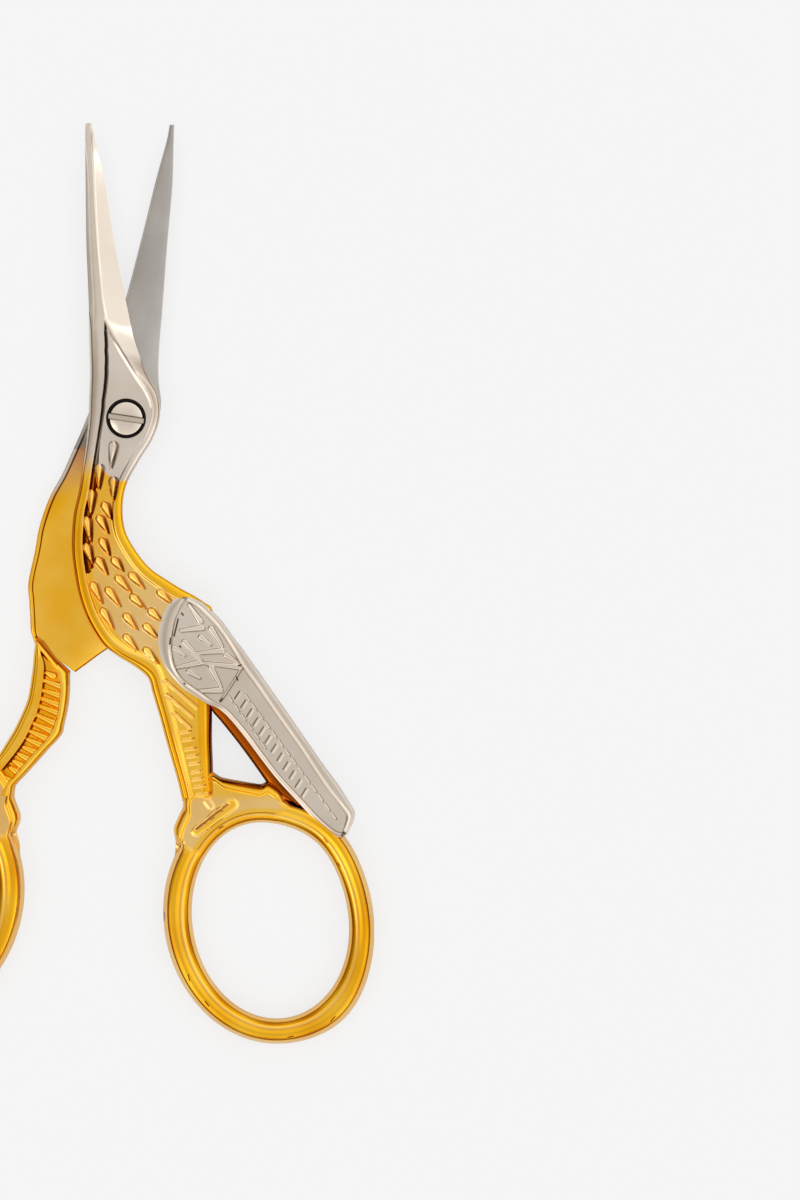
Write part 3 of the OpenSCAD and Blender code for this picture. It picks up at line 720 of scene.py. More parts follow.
# The forging is full thickness behind the breast and struck alike on both faces, so the leg's relief
# comes again on the table side.
underside_start = 21.2
t = even_steps(front_rows, [(0, 0.3), (28, 0.2)])
x, y, z, level, sunk, wear_and_sheen = plate_face(front_rows, t[t > underside_start])
z, sunk, wear_and_sheen = front_relief(x, y, z, level, sunk, wear_and_sheen)
z = np.clip(z - under_wing(x, y), 0.02, plate_t)
skin(
    "front_leg_underside", closed_plate(x, y, thick - inner_z - z, inner_z), gold_finish,
    "front", "gold_plate", hollow=widen(sunk),
)

# Folded wing and tail, nickel plated

# A shield shape with a rim, feathers on the shoulder and rungs down the tail. Each station gives the
# edge, the left rim's crest, the right one's and the other edge.
wing_rows = from_photo([
    181, 595.5, 185, 599, 187, 600, 190, 596.5, 170, 604, 179, 609, 198, 606, 203, 602,
    164, 615, 174.5, 620, 207, 614, 213.5, 612, 160, 628, 172, 633, 216, 623, 223, 622,
    159, 640, 171, 645, 223.5, 632.5, 231, 633.5, 161, 654, 172, 656, 229.5, 641.5, 237.5, 642,
    165, 664.5, 175, 668, 236.5, 653, 245, 652, 173, 676, 182, 679, 243, 664, 252, 662,
    184, 688, 191, 686, 251, 675.5, 260, 673, 196, 696, 202, 693.5, 259, 686.5, 268, 684.5,
    207, 703, 212, 700.5, 268, 699.5, 277, 697.5, 220, 709, 224, 707, 280, 717, 289, 714.5,
    231, 719, 235, 717.5, 291, 732.5, 300, 730.5, 245, 736, 249, 734.5, 302, 748, 311, 746.5,
    261.5, 758, 265.5, 757, 315, 768, 324.5, 766, 278, 779, 282, 778, 330, 790, 339, 785.5,
    298, 801, 302, 799.5, 343, 806, 352, 806, 317, 821, 320, 819, 349, 815, 355.6, 814,
    333, 834.5, 334, 831, 347.5, 823.5, 353.5, 823, 343, 837.5, 342, 834, 344.3, 830.6, 348, 833.8,
], 4)
wing_feathers = from_photo([
    201, 621, 190, 605, 203, 627.5, 181.7, 630.5, 202, 637, 211, 644, 212, 628.5, 223, 646,
    185.5, 642, 202, 660, 223, 650.5, 199, 653, 175, 648, 185, 655, 200, 662.5, 175.8, 667.5,
    241, 667, 204, 663, 212, 667.5, 221.5, 686, 190, 671.5, 200, 677.5, 221, 690, 198, 691,
    227, 655, 239, 663,
], 2)
tail_band = from_photo([243, 667, 230, 688, 230, 688, 221, 701], 2)
tail_middle = from_photo([237, 699, 241.5, 692, 303.5, 796, 308, 789], 2)
tail_right = from_photo([246, 694, 250.5, 700.5, 332, 812, 336.5, 818.5], 2)
tail_left = from_photo([229, 695, 233, 701.5, 262, 742, 266, 748.5], 2)
# Where pits are struck; they are drawn only as dark spots of painted shade
pit_shade_spots = from_photo([
    179, 619, 175, 636, 171.5, 638, 170.8, 644, 182.5, 613, 184, 615, 185, 683, 186, 684,
    180.5, 646, 181.5, 647, 237.5, 677, 238.5, 680, 221, 701, 223.5, 698.5, 239.5, 665.5, 242, 665,
], 2)
field_drop = 0.3


def ladder(ends, count):
    """Equal strokes stepping from the first to the last of two."""
    first, last = np.asarray(ends, float)
    return [first + (last - first) * k / (count - 1) for k in range(count)]


rungs = ladder(tail_middle, 12)
rails = ladder(tail_right, 14) + ladder(tail_left, 6) + list(tail_band)


def leaves(x, y, lines, width, rise, taper):
    """Height of raised leaves: each an arc round its line with a shallow dent along the middle. Its half
    width shrinks by the taper towards the last point."""
    z = np.zeros_like(x)
    for a, b in lines:
        t, away = beside(x, y, a, b)
        r = away / (width / 2 * (1 - taper * t))
        z = np.maximum(z, rise * np.clip(1 - r**2, 0, 1) ** 0.9 * (1 - 0.3 * bell(r, 0.3)))
    return z


def strips(rows, counts):
    """Grid over neighbouring strips: straight lines between each station's points, with so many grid
    lines to a strip. Returns x, y, each strip's shares from 0 to 1, the last with its end, and each
    strip's width."""
    shares = [np.linspace(0, 1, lines, endpoint=False)[None] for lines in counts]
    edges = [rows[:, k : k + 1] for k in range(rows.shape[1])]
    parts = [a * (1 - u[..., None]) + b * u[..., None] for a, b, u in zip(edges, edges[1:], shares)]
    xy = np.concatenate(parts + edges[-1:], axis=1)
    shares[-1] = np.append(shares[-1], 1.0)[None]
    return xy[..., 0], xy[..., 1], shares, [np.linalg.norm(b - a, axis=2) for a, b in zip(edges, edges[1:])]


def wing_face(t):
    """Wing's face on a grid, as height over the middle plane. It rises from each edge to the rim's
    crest on an arc, steps down to the field within 0.3 mm, and carries feathers and rungs. Returns
    x, y, the height and the painted shade mark."""
    x, y, (u, v, w), (left_w, field, right_w) = strips(spline(wing_rows, t), (14, 140, 12))
    top = plate_t + lap / 2
    crest = lambda away: 0.1 * (1 - bell(away, 0.2))
    left = top - crest((1 - u) * left_w) - 0.12 * (1 - u) ** 1.6
    inside = np.minimum(v, 1 - v) * field
    middle = top - field_drop * ease((inside - 0.05) / 0.22)
    right = top - crest(w * right_w) - 0.1 * w**1.3 - 0.45 * np.clip((w - 0.86) / 0.14, 0, 1) ** 2
    z = np.concatenate([left, middle, right], axis=1)
    loops = lambda a, b: leaves(a, b, wing_feathers, 0.9, 0.23, 0.4)
    steps_up = lambda a, b: strokes(a, b, rungs, 0.34, 0.13, flat=1.6)
    dashes = lambda a, b: strokes(a, b, rails, 0.3, 0.15, flat=1.3)
    relief = most(loops(x, y), steps_up(x, y), dashes(x, y))
    within = np.concatenate([0 * left, ease(inside / 0.3), 0 * right], axis=1)
    # Painted shade: both rims, the field's foot, shadows beside the relief, and dark spots where pits are
    # struck
    shoulder = ease((9.5 - t) / 1.5)[:, None]
    left_mark = 0.34 * bell(u - 0.5, 0.25) * shoulder + 0.3 * ease((0.9 - u) / 0.3) * (1 - shoulder)
    right_mark = 0.12 * bell(w - 0.45, 0.25) + 0 * right
    rim_shade = np.concatenate([left_mark, 0.6 * bell(inside - 0.22, 0.09), right_mark], axis=1)
    relief_shadows = most(
        0.45 * shadow_side(loops, x, y, 0.14, -0.1, 0.12),
        0.05 * (1 - ease(loops(x, y) / 0.06)),
        0.8 * shadow_side(steps_up, x, y, -0.13, 0.05, 0.1),
        0.6 * shadow_side(dashes, x, y, 0.1, -0.06, 0.09),
    )
    mark = most(rim_shade, relief_shadows * within, strokes(x, y, pit_shade_spots, 0.24, 1.0))
    return x, y, np.minimum(z + relief * within, top), mark


t = even_steps(wing_rows, [(0, 0.055), (9, 0.055), (11, 0.1), (19, 0.1)])
x, y, z, mark = wing_face(t)
z_mid = thick / 2
skin(
    "front_wing", closed_plate(x, y, z_mid + z, z_mid), nickel_finish, "front", "nickel_plate",
    hollow=widen(mark),
)
# The table side starts where the breast plate ends, on a line from the leg to the shoulder's top
t = even_steps(wing_rows, [(0, 0.2), (19, 0.2)])
x, y, z, mark = wing_face(t[t > 2.0])
edge_a, edge_b = np.array([3.8, -33.2]), np.array([10.2, -22.9])
normal = np.array([edge_b[1] - edge_a[1], edge_a[0] - edge_b[0]]) / np.linalg.norm(edge_b - edge_a)
past = (x - edge_a[0]) * normal[0] + (y - edge_a[1]) * normal[1]
slide = np.clip(-past, 0, None)
x, y = x + slide * normal[0], y + slide * normal[1]
skin(
    "front_wing_underside", closed_plate(x, y, z_mid - z, z_mid), nickel_finish, "front", "nickel_plate",
    hollow=widen(mark),
)

# Gold flank under the tail, along the three-cornered opening

# Its wall slopes in to the parting line at half thickness, as a forging's must to leave the die.
flank_rows = from_photo([
    210, 706, 216, 699, 214, 713, 226, 701, 221, 721, 236, 712, 237, 741, 251, 732,
    253, 762.5, 267, 753, 266, 781, 283, 772, 272, 790, 298, 792, 286, 800, 312, 806,
], 2)
flank_wall = 0.35
# Painted shade across the flank: dark at the opening, a lighter gold line, dark under the wing
flank_shade = ([0, 0.08, 0.15, 0.2, 0.28, 0.5, 1], [0.95, 0.88, 0.45, 0.5, 0.84, 0.88, 0.95])


def flank_height(u):
    """Height over the middle plane across the flank: a short wall, then an arc up to the wing's foot."""
    return flank_wall + (plate_t * 0.8 - flank_wall) * arc(u * 1.15)


def both_faces(x, y, z):
    """Closed sections with the same face up and down, from its height over the middle plane."""
    up = np.stack([x, y, z_mid + z], -1)
    return np.concatenate([up, np.stack([x, y, z_mid - z], -1)[:, ::-1]], axis=1)


def twice(mark):
    """Gives a mark of the upper face to the same face below as well."""
    return np.concatenate([mark, mark[:, ::-1]], axis=1)


rows = spline(flank_rows, even_steps(flank_rows, [(0, 0.25), (7, 0.25)]))
u = np.linspace(0, 1, 24) ** 1.4
xy = rows[:, :1] * (1 - u[None, :, None]) + rows[:, 1:] * u[None, :, None]
x, y = xy[..., 0], xy[..., 1]
skin(
    "front_flank", both_faces(x, y, flank_height(u)[None] + 0 * x), gold_finish, "front", "gold_plate",
    hollow=twice(np.interp(u, *flank_shade)[None] + 0 * x),
)

# Finger rings

# A bead with a crest towards the hole and a crease inside it, carried round the oval hole. Towards the
# leg it spreads into a flat web with its own rim, and a knob where the web starts.
hole_l, hole_w, ring_w = 24.6, 19.7, 3.15
ring_d, stop_gap = 63.4, 0.15
lean, ring_tilt = np.radians(4.1), np.radians(8.6)
mid_a, mid_b = (hole_l + ring_w) / 2, (hole_w + ring_w) / 2
ring_side = stop_gap / 2 + np.hypot(
    (hole_l / 2 + ring_w) * np.sin(ring_tilt), (hole_w / 2 + ring_w) * np.cos(ring_tilt)
)
# Distance from the hole against the bead's height, its painted shade and its painted highlight (paler gold
# at the edges and on the crest), then the web's height by the distance from its outline and from the hole
bead = (
    [0.0, 0.05, 0.2, 0.36, 0.5, 0.7, 0.9, 1.1, 1.28, 1.45, 1.75, 2.05, 2.25, 2.45, 2.62, 2.78, 2.95,
     3.08, 3.15],
    [0.05, 0.36, 0.76, 1.07, 1.2, 1.34, 1.46, 1.54, 1.53, 1.6, 1.7, 1.73, 1.68, 1.57, 1.42, 1.2, 0.78,
     0.36, 0.05],
)
bead_shade = (
    [0.0, 0.3, 0.45, 0.62, 0.78, 0.95, 1.1, 1.3, 1.5, 2.1, 2.35, 2.5, 2.65, 3.15],
    [0.0, 0.02, 0.28, 0.4, 0.3, 0.06, 0.0, 0.26, 0.17, 0.15, 0.32, 0.32, 0.04, 0.0],
)
bead_sheen = (
    [0.0, 0.3, 0.45, 0.85, 1.1, 1.3, 1.5, 2.4, 2.62, 2.8, 3.15],
    [0.26, 0.2, 0.0, 0.0, 0.16, 0.05, 0.0, 0.0, 0.14, 0.26, 0.26],
)
web_rim = ([0.0, 0.06, 0.3, 0.6, 0.85, 1.05, 1.3, 1.55], [0.25, 0.7, 1.2, 1.52, 1.66, 1.7, 1.58, 1.48])
web_foot = (
    [0.0, 0.1, 0.3, 0.6, 0.9, 1.14, 1.26, 1.36, 1.48, 1.6, 1.8, 12.0],
    [0.3, 0.65, 0.98, 1.22, 1.34, 1.38, 1.38, 1.56, 1.62, 1.6, 1.52, 9.0],
)


def turn(points, angle):
    """Points turned about the pivot's axis."""
    c, s = np.cos(angle), np.sin(angle)
    return np.asarray(points, float) @ np.array([[c, s], [-s, c]])


def ring_and_web(side, lower, web, angle, swells):
    """Grid of a finger ring's face: rays that leave the hole's edge square to it, as far as the band
    or the web's outline reaches. The height over the middle plane is the bead's, and where the ray
    goes on into the web, the lesser of the web's rim and its foot. Swells are hand-filed thick spots:
    heading and spread in degrees, then how far the edge moves into the hole and how far the outside
    moves out. Returns x, y, the height, the painted shade mark, the distance from the outline and how
    pale the gold is, partly as painted highlight."""
    a = np.linspace(0, 2 * np.pi, 420, endpoint=False)
    middle = np.stack([mid_b * np.sin(a), mid_a * np.cos(a)], -1)
    outward = np.stack([mid_a * np.sin(a), mid_b * np.cos(a)], -1)
    outward /= np.linalg.norm(outward, axis=1)[:, None]
    centre = turn([side * ring_side, -ring_d - lower], lean + angle)
    middle = turn(middle, lean + side * ring_tilt + angle) + centre
    outward = turn(outward, lean + side * ring_tilt + angle)
    heading = np.degrees(np.arctan2(outward[:, 1], outward[:, 0]))
    inward, outer = np.zeros_like(a), np.zeros_like(a)
    for at, around, into, out in swells:
        share = bell((heading - at + 180) % 360 - 180, around)
        inward, outer = inward + into * share, outer + out * share
    start = middle - outward * (ring_w / 2 + inward)[:, None]
    ring_here = ring_w + inward + outer
    # Where each ray crosses the web's outline
    outline = np.linspace(1, len(web) + 1, len(web) * 8)
    web = turn(spline(np.concatenate([web[-1:], web, web[:2]]), outline), angle)
    p, e = web[:-1], np.diff(web, axis=0)
    cross = outward[:, None, 0] * e[None, :, 1] - outward[:, None, 1] * e[None, :, 0]
    cross = np.where(np.abs(cross) < 1e-9, 1e-9, cross)
    gap = p[None] - start[:, None]
    reach = (gap[..., 0] * e[None, :, 1] - gap[..., 1] * e[None, :, 0]) / cross
    share = (gap[..., 0] * outward[:, None, 1] - gap[..., 1] * outward[:, None, 0]) / cross
    reach = np.where((share >= 0) & (share <= 1) & (reach > 0) & (reach < 12), reach, 0).max(axis=1)
    far = np.maximum(reach, ring_here)
    for _ in range(2):
        far = np.maximum((np.roll(far, 1) + far + np.roll(far, -1)) / 3, ring_here)
    crest_end, bead_end = 1.3, 2.1
    u = np.append(
        np.linspace(0, crest_end, 16, endpoint=False), np.linspace(crest_end, bead_end, 9, endpoint=False)
    )
    v = np.linspace(0, 1, 56)
    outer_part = bead_end + (far[:, None] - 2.12) * (1 - (1 - v[None]) ** 1.25)
    d = np.concatenate([u[None] + 0 * far[:, None], outer_part], axis=1)
    xy = start[:, None] + outward[:, None] * d[..., None]
    rest = far[:, None] - d
    scaled = d * (ring_w / ring_here)[:, None]
    spread = ease(((far - ring_here)[:, None] - 0.3) / 1.2)
    web_z = np.minimum(np.interp(rest, *web_rim), np.interp(d, *web_foot))
    z = (1 - spread) * np.interp(scaled, *bead) + spread * web_z
    # Painted shade and painted highlight on the bead, in bands that vary round the ring, and on the bead's
    # inner part where it goes over into the web
    wave = np.radians(heading)[:, None]
    wobble = 1 + 0.5 * np.sin(wave * 3 + 1) * np.sin(wave * 7)
    inner_part = lambda table: spread * np.where(d < 1.2, np.interp(d, *table), 0)
    band_shade = (1 - spread) * wobble * np.interp(scaled, *bead_shade) + inner_part(bead_shade)
    painted_sheen = (1 - spread) * np.interp(scaled, *bead_sheen) + inner_part(bead_sheen)
    # On the web: painted shade lines, and paler gold on its flat and along its outline
    lines = most(0.6 * bell(d - 1.28, 0.08), 0.35 * bell(rest - 0.5, 0.14), 0.4 * bell(rest - 1.3, 0.15))
    flat = 0.27 * ease((d - 1.7) / 0.3) * ease((rest - 1.3) / 0.4)
    rim = most(0.25 * ease((0.35 - rest) / 0.2), 0.15 * bell(rest - 1.0, 0.1))
    crease = most(band_shade, spread * lines)
    wear_and_sheen = most(painted_sheen, spread * flat, spread * rim)
    return xy[..., 0], xy[..., 1], z, crease, rest, wear_and_sheen


front_web = np.reshape([
    7.1, -46.4, 7.1, -48.0, 6.7, -48.8, 6.0, -50.3, 5.8, -51.1, 6.1, -52.5, 6.0, -53.8, 6.7, -55.2,
    11.6, -50.8, 17.2, -49.2, 22.9, -50.2, 25.4, -52.2, 21.5, -47.8, 17.6, -44.9, 17.1, -45.4,
    14.0, -44.95, 11.7, -44.5, 11.0, -44.2, 10.75, -43.6, 9.7, -43.6,
], (-1, 2))
front_swells = [(45, 20, -0.45, 0.45), (-42, 25, 0.0, 0.5), (178, 45, 0.42, 0.0)]
ring_right, ring_foot = 30.74, -77.61
# The bird's toe lies on the web as a bar with a groove, under a small nub. Dark glints are painted
# reflections: small dark spots on the gold.
toe = from_photo([197.5, 831, 233, 804.5], 2)
toe_groove = from_photo([196.5, 829, 229, 804], 2)
nub_line = from_photo([208, 801, 212, 806], 2)
dark_glints = from_photo([
    189, 974, 190.5, 980, 206, 1001, 210, 1006, 331.5, 1021, 335.5, 1016.5, 338.5, 863, 341, 866.5,
    325, 838.5, 328, 842, 219.5, 828.5, 224, 826, 164.8, 912, 165, 920, 289, 1037, 294, 1035.5,
], 2)
x, y, z, crease, rest, wear_and_sheen = ring_and_web(1, 0.0, front_web, 0.0, front_swells)
x, y = np.minimum(x, ring_right), np.maximum(y, ring_foot)
toe_bar = strokes(x, y, toe, 1.3, 0.24, taper=-0.15) - strokes(x, y, toe_groove, 0.42, 0.16)
nub = strokes(x, y, nub_line, 0.9, 0.18)
on_bar = ease(toe_bar / 0.1)
on_toe = ease(strokes(x, y, toe, 1.3, 1.0, taper=-0.15) / 0.05)
# Painted highlight: paler gold along the toe bar's crest; all paler gold fades out towards the leg
wear_and_sheen = (wear_and_sheen * (1 - on_bar) + 0.2 * bell(toe_bar - 0.08, 0.05) * on_toe) * ease((-46.3 - y) / 1.4)
under_leg = ease((y - leg_foot) / 0.4) * window(x, 7.0, 0.4, 10.75, 0.35)
z = np.minimum(z + np.maximum(toe_bar, nub) - 0.5 * under_leg, thick / 2)
# Painted shade on the web's wall by the opening, in the toe's groove, and as dark glints
wall = ease((1.0 - rest) / 0.35) * ease((y + 47.2) / 0.6) * ease((x - 10.6) / 0.3)
groove_and_glint_shade = most(strokes(x, y, toe_groove, 0.26, 0.75), strokes(x, y, dark_glints, 0.16, 0.95))
crease = most(crease * (1 - on_bar), 0.5 * wall, groove_and_glint_shade)
skin(
    "front_ring", both_faces(x, y, z), two_tone_finish, "front", "gold_plate",
    ring=True, sharp=40.0, slope_shade=0.0, gold=1 - twice(wear_and_sheen), hollow=twice(crease),
)

# Back half, blade to breast

# The same forging turned over: its flat ground inner face looks up, with a fine line and a rounded edge
# along the left, and its struck face lies on the table.
open_angle = -np.radians(16.0)
back_rows = np.concatenate([
    np.reshape([
        -4.95, 36.6, -4.4, 36.75, -4.75, 34.5, -3.85, 34.5, -4.7, 29.6, -2.6, 29.6,
        -4.42, 22.1, -1.15, 22.1, -4.25, 14.7, 0.38, 14.7, -4.4, 9.7, 1.37, 9.7,
        -4.5, 6.0, 2.33, 6.0, -4.6, 2.9, 3.5, 3.0, -4.7, 0.1, 3.75, 0.2,
    ], (-1, 2, 2)),
    front_rows[9:15],
    np.reshape([
        -6.2, -22.9, 3.1, -18.7, -5.5, -25.0, 5.3, -20.3, -4.8, -27.0, 7.2, -22.0,
        -4.3, -28.5, 7.2, -25.6, -3.8, -29.3, 4.2, -29.8, -3.4, -29.9, 2.5, -32.0,
    ], (-1, 2, 2)),
])
t = even_steps(back_rows, [(0, 0.05), (0.25, 0.06), (0.5, 0.25), (4, 0.3), (5, 0.2), (20, 0.2)])
station = t[:, None]
x, y, z = plate_face(back_rows, t)[:3]
# The blade's bevel is on its other side, so its face is mirrored about the middle line
rows = spline(back_rows, t)
both_edges = rows.sum(axis=1)
blade = ease((6.8 - station) / 2.0)
x = blade * (both_edges[:, :1] - x[:, ::-1]) + (1 - blade) * x
y = blade * (both_edges[:, 1:] - y[:, ::-1]) + (1 - blade) * y
z = blade * z[:, ::-1] + (1 - blade) * z
z = np.clip(z + teardrops(x, y, neck_feathers, feather_w, 0.25), 0, plate_t)
struck = np.stack([x, y, plate_t - z], -1)
# Inner face, from the right edge back to the left: flat, then the line, then the rounded edge. The
# profile is the distance from the left edge in shares of the line's width, and the drop in mm.
line_place = np.array([[0.0, 0.06, 0.18, 0.36, 0.5, 0.56, 0.62, 0.68, 0.76]])
line_drop = np.array([[0.55, 0.22, 0.1, 0.05, 0.06, 0.13, 0.12, 0.02, 0.0]])
line_end = 0.62
wide = np.linalg.norm(rows[:, 1] - rows[:, 0], axis=1)[:, None]
along = (rows[:, 1] - rows[:, 0]) / wide
line_w = np.interp(station, [0, 3, 6, 10, 20], [0.25, 0.5, 0.7, 1.0, 1.0])
depth = np.interp(station, [0, 8.5, 9.5, 20], [0.25, 0.25, 1.0, 1.0])
chamfer = np.interp(station, [0, 16, 17], [0.08, 0.08, 0.35])
q = np.concatenate([line_place * line_w, 0.5 * wide, wide - chamfer, wide], axis=1)
drop = np.concatenate([line_drop * depth, 0 * wide, 0 * wide, 0.5 * chamfer], axis=1)
face = rows[:, :1] + along[:, None] * q[..., None]
inner = np.concatenate([face, plate_t - drop[..., None]], -1)[:, ::-1]
sections = np.concatenate([struck, inner], axis=1)
sections[..., :2] = turn(sections[..., :2], open_angle)
y = sections[..., 1]
# Gold from the neck down, paler at its start on the flat inner face
blank = 0 * struck[..., 0]
outer = np.concatenate([1 + blank, (q < line_end * line_w)[:, ::-1]], axis=1)
flat_gold = ease((-3.0 - y) / 0.9) * np.interp(-y, [3.5, 10.0], [0.5, 1.0])
gold = np.where(outer > 0.5, ease((-7.5 - y) / 3.5), flat_gold)
# Painted shade along the fine line and at the chamfer's foot; head_mark darkens the flat face towards the
# head
line_shade = bell(q / line_w - 0.59, np.interp(station, [8, 12, 14], [0.17, 0.14, 0.08])) * depth
chamfer_foot_shade = 0.6 * ease((q - wide + 0.2) / 0.15) * ease((station - 17) / 1)
head_mark = 0.5 * ease((face[..., 1] + 13) / 9) * ease((station - 9) / 0.5) * (q > line_end * line_w)
mark = np.concatenate([blank, most(line_shade, chamfer_foot_shade, head_mark)[:, ::-1]], axis=1)
head_cut = 10.0
for name, keep, slot, finish in (
    ("back_blade", t <= head_cut, "nickel_plate", ground_finish),
    ("back_breast", t >= t[t <= head_cut][-1], "gold_plate", two_tone_finish),
):
    pieces[name] = skin(name, sections[keep], finish, "back", slot, gold=gold[keep], hollow=mark[keep])
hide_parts("back_half")
hole_r = 1.22
drill(pieces["back_blade"], [(hole_r, -1.0), (hole_r, 5.0)])

# Boss round the screw's end, the flat on which the pivot stands
boss_r = 2.55
boss = turned([
    (hole_r, 0.0), (boss_r - 0.05, 0.0), (boss_r, 0.05), (boss_r, plate_t / 2), (hole_r, plate_t / 2),
])
skin(
    "back_boss", boss, nickel_finish, "back", "nickel_plate", ring=True, sharp=30.0, hollow=0 * boss[..., 0]
)

# Back leg

# Full thickness from the step below the breast, with a rim at either side of a sunken panel and ribs
# across it. Each station gives edge, panel, panel and edge.
back_leg_rows = from_photo([
    34.5, 636, 42, 640.5, 58, 659.5, 70.5, 671, 35.8, 641, 41, 650, 58, 671, 69.8, 675.5,
    34.5, 653, 44, 662, 60, 678, 70, 680, 33.5, 665, 44.3, 672, 62.5, 686, 70, 688,
    32, 677, 43, 684, 62, 695, 69.3, 698, 30.3, 689, 41.5, 695, 61, 704, 68.3, 706,
    28.3, 699, 39.5, 704, 60, 713, 66.8, 714, 24.5, 709, 36.5, 714, 57, 723.5, 64.5, 724,
    19.5, 720, 32, 724, 53.5, 731.5, 62.5, 733, 14, 731, 27, 735, 46, 742, 57.5, 740,
    8, 741, 20.5, 746, 37, 752, 48, 750, 0, 753.5, 11, 758.5, 27, 763, 37.5, 762,
    -8, 762, 2, 769.5, 16.5, 776, 26, 774.5, -14, 769, -6, 779, 8, 785, 14.8, 787,
    -19, 776, -13, 789, 3, 796, 13.8, 796,
], 4)
back_ribs = from_photo([
    54, 676, 46, 672, 63, 687, 44, 680, 61, 695.7, 43, 690, 60, 705, 41.4, 698, 60, 713.6, 39.3, 705.7,
    56.4, 723.6, 36.4, 714.3, 52.9, 731.4, 33.6, 722.9, 45.5, 737.5, 30, 730.7, 41, 744.8, 27, 738.6,
    35.5, 752, 22.9, 746.4, 30, 759.5, 17.9, 752.9, 21.6, 765, 12.9, 760, 17, 771.5, 9.3, 766.4,
    9.6, 780, 1.4, 775,
], 2)
# The ribs stop short of the leg's left rim
rib_gap = 0.25
inward = back_ribs[:, 0] - back_ribs[:, 1]
back_ribs[:, 1] += rib_gap * inward / np.linalg.norm(inward, axis=1)[:, None]
back_ribs = np.round(back_ribs, 2)
panel_sink, rib_w, rib_rise = 0.55, 1.05, 0.4


def back_leg_face(t):
    """Back leg's face as height over the middle plane: an arc at each edge, a rim, a sunken panel and
    tapering ribs across the panel. Returns x, y, the height and the painted shade mark."""
    counts = (20, 48, 14)
    x, y, (u, v, w), (left_w, wide, right_w) = strips(spline(back_leg_rows, t), counts)
    top = plate_t + lap / 2
    q = u * left_w
    fold = bell(q - 0.42 * left_w, 0.08)
    rim = top * (0.45 + 0.47 * arc(q / (0.45 * left_w))) + 0.12 * ease(q / left_w * 1.3 - 0.3) - 0.06 * fold
    inside = np.minimum(v, 1 - v) * wide
    sunk = ease(inside / 0.2) * ease((t - 0.8) / 0.5)[:, None]
    panel = slice(counts[0], counts[0] + counts[1])
    ribs = strokes(x[:, panel], y[:, panel], back_ribs, rib_w, rib_rise, taper=0.35, flat=1.25)
    middle = np.minimum(top - panel_sink * sunk + ribs, top - 0.02)
    w = (1 - w) * right_w
    right = top * (0.45 + 0.53 * arc(w / right_w * 1.1))
    z = np.concatenate([rim, middle, right], axis=1)
    # Painted shade between the ribs, darkest at their left notch, in the left rim's fold, at the right edge
    # and in the step at the top
    between = sunk * np.clip(1 - ribs / 0.1, 0, 1)
    notch_shade = 0.95 * ease((0.5 - v * wide) / 0.25) * ease(v * wide / 0.08) * between
    marks = [0.45 * fold, most(0.2 * between, notch_shade), 0.3 * ease(1 - w / right_w * 1.5)]
    step_shade = 0.62 * ease((0.5 - t) / 0.25)[:, None]
    fillet = 0.12 + 0.88 * arc(t)[:, None]
    return x, y, z * fillet, most(np.concatenate(marks, axis=1), step_shade)


x, y, z, mark = back_leg_face(even_steps(back_leg_rows, [(0, 0.05), (1, 0.05), (1.5, 0.09), (14, 0.09)]))
skin("back_leg", both_faces(x, y, z), gold_finish, "back", "gold_plate", hollow=twice(mark))

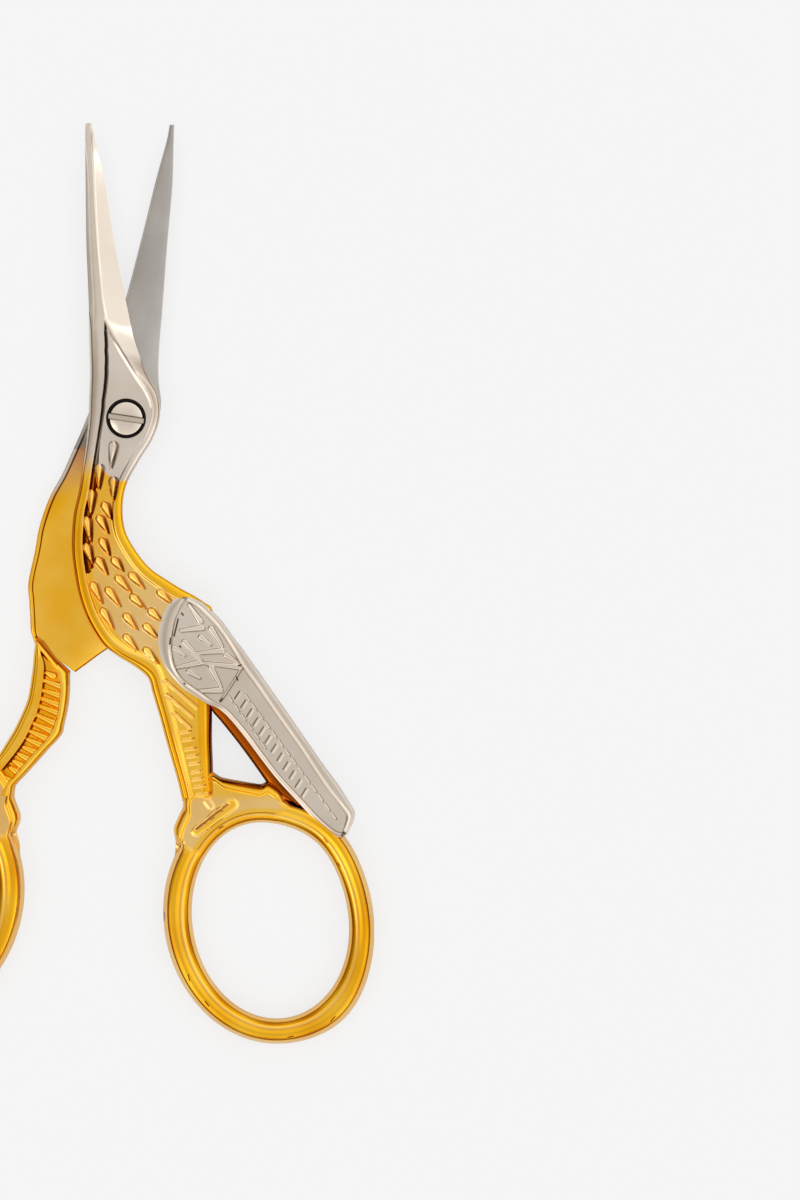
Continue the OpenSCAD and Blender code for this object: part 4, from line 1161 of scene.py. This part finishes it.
back_web = np.reshape([
    -0.7, -47.4, -0.7, -48.5, -0.2, -49.4, 0.9, -50.9, 1.1, -52.0, 0.9, -53.0, 1.6, -54.0, 2.0, -55.7,
    0.0, -56.2, -3.8, -53.0, -8.3, -51.9, -12.0, -52.4, -11.3, -51.0, -8.1, -49.5, -5.3, -47.7,
    -4.0, -45.0,
], (-1, 2))
back_lower = 0.8
x, y, z, crease, rest, wear_and_sheen = ring_and_web(-1, back_lower, back_web, open_angle, [(0, 40, 0.3, 0.09)])
skin(
    "back_ring", both_faces(x, y, z), two_tone_finish, "back", "gold_plate",
    ring=True, sharp=40.0, slope_shade=0.0, gold=1 - twice(wear_and_sheen), hollow=twice(crease),
)

# Pivot screw

# A turned shoulder screw of nickel-plated steel with a domed head and a sawn slot, driven into the back
# half and lying in the front half's counterbore.
head_r, head_top, head_seat = 2.2, thick + 0.1, seat_z + 0.05
slot_w, slot_depth, slot_angle = 0.7, 0.3, -np.radians(8.5)
slot_edge = slot_w / 2
# Grid lines across the head, close together at the slot's walls, then mirrored
y_line = np.concatenate([
    np.linspace(-1, -0.5, 24, endpoint=False) * head_r,
    np.linspace(-0.5 * head_r, -slot_edge - 0.03, 24, endpoint=False),
    np.linspace(-slot_edge - 0.03, -slot_edge, 4),
    np.linspace(-slot_edge + 0.004, 0, 6),
])
y_line = np.concatenate([y_line, -y_line[-2::-1]])
half = np.sqrt(np.clip(head_r**2 - y_line**2, 1e-4, None))[:, None]
x = half * np.sin(np.linspace(-1, 1, 90) * np.pi / 2)[None]
y = y_line[:, None] + 0 * x
out = np.hypot(x, y) / head_r
dome = head_top - 0.4 * out**2 - 0.16 * np.clip((out - 0.86) / 0.14, 0, 1) ** 2
in_slot = np.abs(y) < slot_edge
sections = closed_plate(x, y, np.where(in_slot, head_top - slot_depth, dome), head_seat)
sections[..., :2] = turn(sections[..., :2], slot_angle)
# Painted shade on the slot's walls, darker at one, and lightly on its floor
slot_shade = 0.85 * bell(y - slot_edge, 0.08) + 0.6 * bell(y + slot_edge, 0.07) + 0.16 * in_slot
head = skin(
    "screw_head", sections, nickel_finish, "back", "nickel_plate", sharp=35.0, hollow=widen(slot_shade)
)
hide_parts("pivot_screw")
thread_r, shank_r, stem_top = 1.2, 1.5, head_seat + 0.1
stem = turned([
    (0.0, 0.05), (thread_r - 0.1, 0.05), (thread_r, 0.15), (thread_r, plate_t), (shank_r, plate_t),
    (shank_r, stem_top), (0.0, stem_top),
])
skin(
    "screw_stem", stem, nickel_finish, "back", "nickel_plate", ring=True, sharp=30.0, hollow=0 * stem[..., 0]
)
